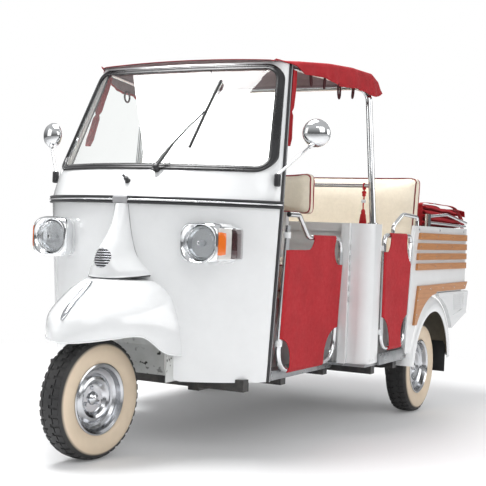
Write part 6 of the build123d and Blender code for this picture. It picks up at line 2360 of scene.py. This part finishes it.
# ---------------------------------------------------------------- stage
class Stage:
    """Floor, soft studio light and camera."""

    PLACE = (2.46562, -4.58160, 0.90900)
    YAW, PITCH, ROLL = 28.158, -0.625, 2.234
    FOCAL = 1074.875 / 486

    def make(self) -> None:
        """Sets up the whole stage."""
        self._camera()
        self._world()
        self._floor()
        self._lamps()
        bpy.context.scene.view_settings.view_transform = "Standard"

    def _camera(self) -> None:
        """Camera at the eye's place, with its turn and lens."""
        Bench.clear()
        bpy.ops.object.camera_add(location=self.PLACE)
        camera = bpy.context.object
        camera.name = "view_camera"
        a, t, r = (math.radians(v) for v in (self.YAW, self.PITCH, self.ROLL))
        forward = Vector((-math.sin(a) * math.cos(t), math.cos(a) * math.cos(t), math.sin(t)))
        right = Vector((math.cos(a), math.sin(a), 0))
        up = right.cross(forward)
        level = right * math.cos(r) + up * math.sin(r)
        rise = up * math.cos(r) - right * math.sin(r)
        turn = Matrix((level, rise, -forward)).transposed().to_4x4()
        camera.matrix_world = Matrix.Translation(self.PLACE) @ turn
        camera.data.sensor_fit = "HORIZONTAL"
        camera.data.sensor_width = 36.0
        camera.data.lens = 36.0 * self.FOCAL
        camera.data.clip_start = 0.05
        camera.data.dof.use_dof = False
        bpy.context.scene.camera = camera

    def _world(self) -> None:
        """Soft studio surroundings that look white to the eye and through glass."""
        world = bpy.data.worlds.new("studio")
        world.use_nodes = True
        world.node_tree.nodes.clear()
        w = Wiring(world.node_tree)
        height = w.node("SeparateXYZ", {0: w.node("TexCoord").outputs["Generated"]}).outputs[2]
        sky = w.spread(height, 0.14, 0.62, min=0.04, max=0.50)
        ground = w.spread(height, 0.42, 0.14, min=-0.20, max=0.0)
        soft = w.node(
            "Background", {"Color": (0.98, 0.99, 1.0, 1), "Strength": w.math("MAXIMUM", sky, ground)}
        )
        seen = w.node("Background", {"Color": (1, 1, 1, 1), "Strength": 1.0})
        rays = w.node("LightPath").outputs
        clear = w.math("MAXIMUM", rays["Is Camera Ray"], rays["Is Transmission Ray"])
        mixed = w.node("MixShader", {"Fac": clear, 1: soft.outputs[0], 2: seen.outputs[0]})
        out = world.node_tree.nodes.new("ShaderNodeOutputWorld")
        world.node_tree.links.new(mixed.outputs[0], out.inputs["Surface"])
        bpy.context.scene.world = world

    def _floor(self) -> None:
        """Plain pale floor that keeps the vehicle's shadow and melts into white beyond it."""
        Bench.clear()
        bpy.ops.mesh.primitive_plane_add(size=60.0, location=(0, 0, 0))
        floor = bpy.context.object
        floor.name = "floor"
        material = bpy.data.materials.new("studio_floor")
        material.use_nodes = True
        tree = material.node_tree
        w = Wiring(tree)
        surface = tree.nodes["Principled BSDF"]
        surface.inputs["Base Color"].default_value = (0.88, 0.88, 0.885, 1)
        surface.inputs["Roughness"].default_value = 0.9
        surface.inputs["Specular IOR Level"].default_value = 0.2
        place = w.place()
        reach = w.node("VectorMath", {0: place}, operation="LENGTH").outputs["Value"]
        share = w.spread(reach, 0.10, 1.0, min=1.9, max=3.4)
        glow = w.node("Emission", {"Color": (1, 1, 1, 1), "Strength": 1.0})
        fade = w.math("MULTIPLY", share, w.node("LightPath").outputs["Is Camera Ray"])
        mixed = w.node("MixShader", {"Fac": fade, 1: surface.outputs[0], 2: glow.outputs[0]})
        tree.links.new(mixed.outputs[0], tree.nodes["Material Output"].inputs["Surface"])
        floor.data.materials.append(material)

    def _lamps(self) -> None:
        """Large soft lamps overhead and all round, and a small one towards the windscreen."""
        for name, place, aim, size, power in (
            ("overhead", (-0.9, -0.9, 4.6), (0, 0, 0.0), (2.6, 2.6), 250.0),
            ("front_left", (4.2, -4.2, 3.4), (0, 0, 0.8), (3.5, 3.0), 60.0),
            ("front_right", (-4.6, -4.0, 2.8), (0, -0.5, 0.8), (3.0, 3.0), 38.0),
            ("side", (5.5, 1.5, 2.2), (0.3, 0.4, 0.7), (4.0, 2.5), 70.0),
            ("rear", (-2.0, 6.0, 3.0), (0, 1.0, 0.7), (4.0, 3.0), 80.0),
            ("window", (1.5, -3.9, 3.4), (0, -1.3, 0.6), (0.75, 0.5), 5.0),
        ):
            Bench.clear()
            bpy.ops.object.light_add(type="AREA", location=place)
            lamp = bpy.context.object
            lamp.name = f"lamp_{name}"
            lamp.data.shape = "RECTANGLE"
            lamp.data.size, lamp.data.size_y = size
            lamp.data.energy = power
            lamp.rotation_euler = (Vector(aim) - Vector(place)).to_track_quat("-Z", "Y").to_euler()


NODE_FINISHES = {
    "white_enamel": ("partition", "corner_columns", "rear_body", "tailgate", "engine_covers", "seat_base"),
    # the wheel well's grey is painted shade of the recess
    "shaded_well_grey": ("wheel_well",),
    "chassis_enamel": ("frame_rails", "cross_members", "rear_suspension", "steering_fork"),
    "black_rubber": ("mudflaps",),
    "bright_chrome": (
        "roof_frame", "armrests", "hood_bows", "front_door_left_frame", "front_door_right_frame",
        "rear_door_left_frame", "rear_door_right_frame",
    ),
    "brushed_rim": ("front_rim", "rear_left_rim", "rear_right_rim"),
    "varnished_wood": ("wood_trims",),
    "red_lens": ("tail_lamps",),
    "engine_casting": ("engine_block",),
}


def bend(start: Pair, middle: Pair, end: Pair) -> tuple[Pair, ...]:
    """Part of a door's edge: a curve through three points."""
    return (start, *through(start, middle, end, 10)[1:])


FRONT_FORE = (
    *bend((0.580, 0.3335), (0.566, 0.440), (0.486, 0.480)),
    (0.486, 0.840),
    *bend((0.640, 0.8405), (0.716, 0.852), (0.740, 0.9045)),
)
FRONT_REAR = (
    *bend((0.936, 0.3335), (0.966, 0.462), (1.0715, 0.493)),
    *bend((1.0715, 0.775), (0.968, 0.812), (0.975, 0.9045)),
)
REAR_FORE = (
    *bend((1.340, 0.3805), (1.326, 0.480), (1.251, 0.540)),
    (1.251, 0.838),
    *bend((1.290, 0.8385), (1.312, 0.866), (1.318, 0.9275)),
)
REAR_REAR = (
    *bend((1.520, 0.3805), (1.500, 0.480), (1.580, 0.535)),
    *bend((1.612, 0.780), (1.550, 0.830), (1.545, 0.9275)),
)


def dress_nodes(paints: Paints) -> None:
    """Gives every carried-over solid its finish."""
    for finish, names in NODE_FINISHES.items():
        for name in names:
            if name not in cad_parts:
                continue
            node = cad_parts[name]
            for index in range(len(node.data.materials)):
                node.data.materials[index] = paints[finish]
            log.info("%s: %s", name, finish)


def main() -> None:
    """Sets the stage, gives the solids their finishes and makes every new piece."""
    paints = Paints()
    Stage().make()
    dress_nodes(paints)
    for tag, centre, turn, outer, body in (
        ("front", (-0.00847, -1.16703, AXLE_HEIGHT), -6.4, LEFT, Body.FRONT_WHEEL),
        ("rear_left", (0.5925, 0.8325, AXLE_HEIGHT), 0.0, LEFT, Body.REAR_WHEEL_LEFT),
        ("rear_right", (-0.5925, 0.8325, AXLE_HEIGHT), 0.0, RIGHT, Body.REAR_WHEEL_RIGHT),
    ):
        Tyre(paints, body, tag=tag, centre=centre, turn=turn, outer=outer).make()
    for side in (LEFT, RIGHT):
        Headlamp(paints, side=side).make()
    Cab(paints).make()
    FrontShell(paints).make()
    FrontTrim(paints).make()
    Roof(paints).make()
    for side, tag in TAGS.items():
        DoorCloth(
            paints,
            Body(f"front_door_{tag}"),
            name=f"front_door_{tag}",
            side=side,
            lean=math.atan(0.030 / 0.640),
            fore=FRONT_FORE,
            rear=FRONT_REAR,
        ).make()
        DoorCloth(
            paints,
            Body(f"rear_door_{tag}"),
            name=f"rear_door_{tag}",
            side=side,
            x=0.700,
            fore=REAR_FORE,
            rear=REAR_REAR,
            posts=(1.262, 1.5685),
            slope=0.1306,
            rails=(0.392, 0.916),
            stitched=False,
        ).make()
    Seats(paints).make()
    FoldedHood(paints).make()
    Fittings(paints).make()


if __name__ == "__main__":
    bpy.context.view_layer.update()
    main()
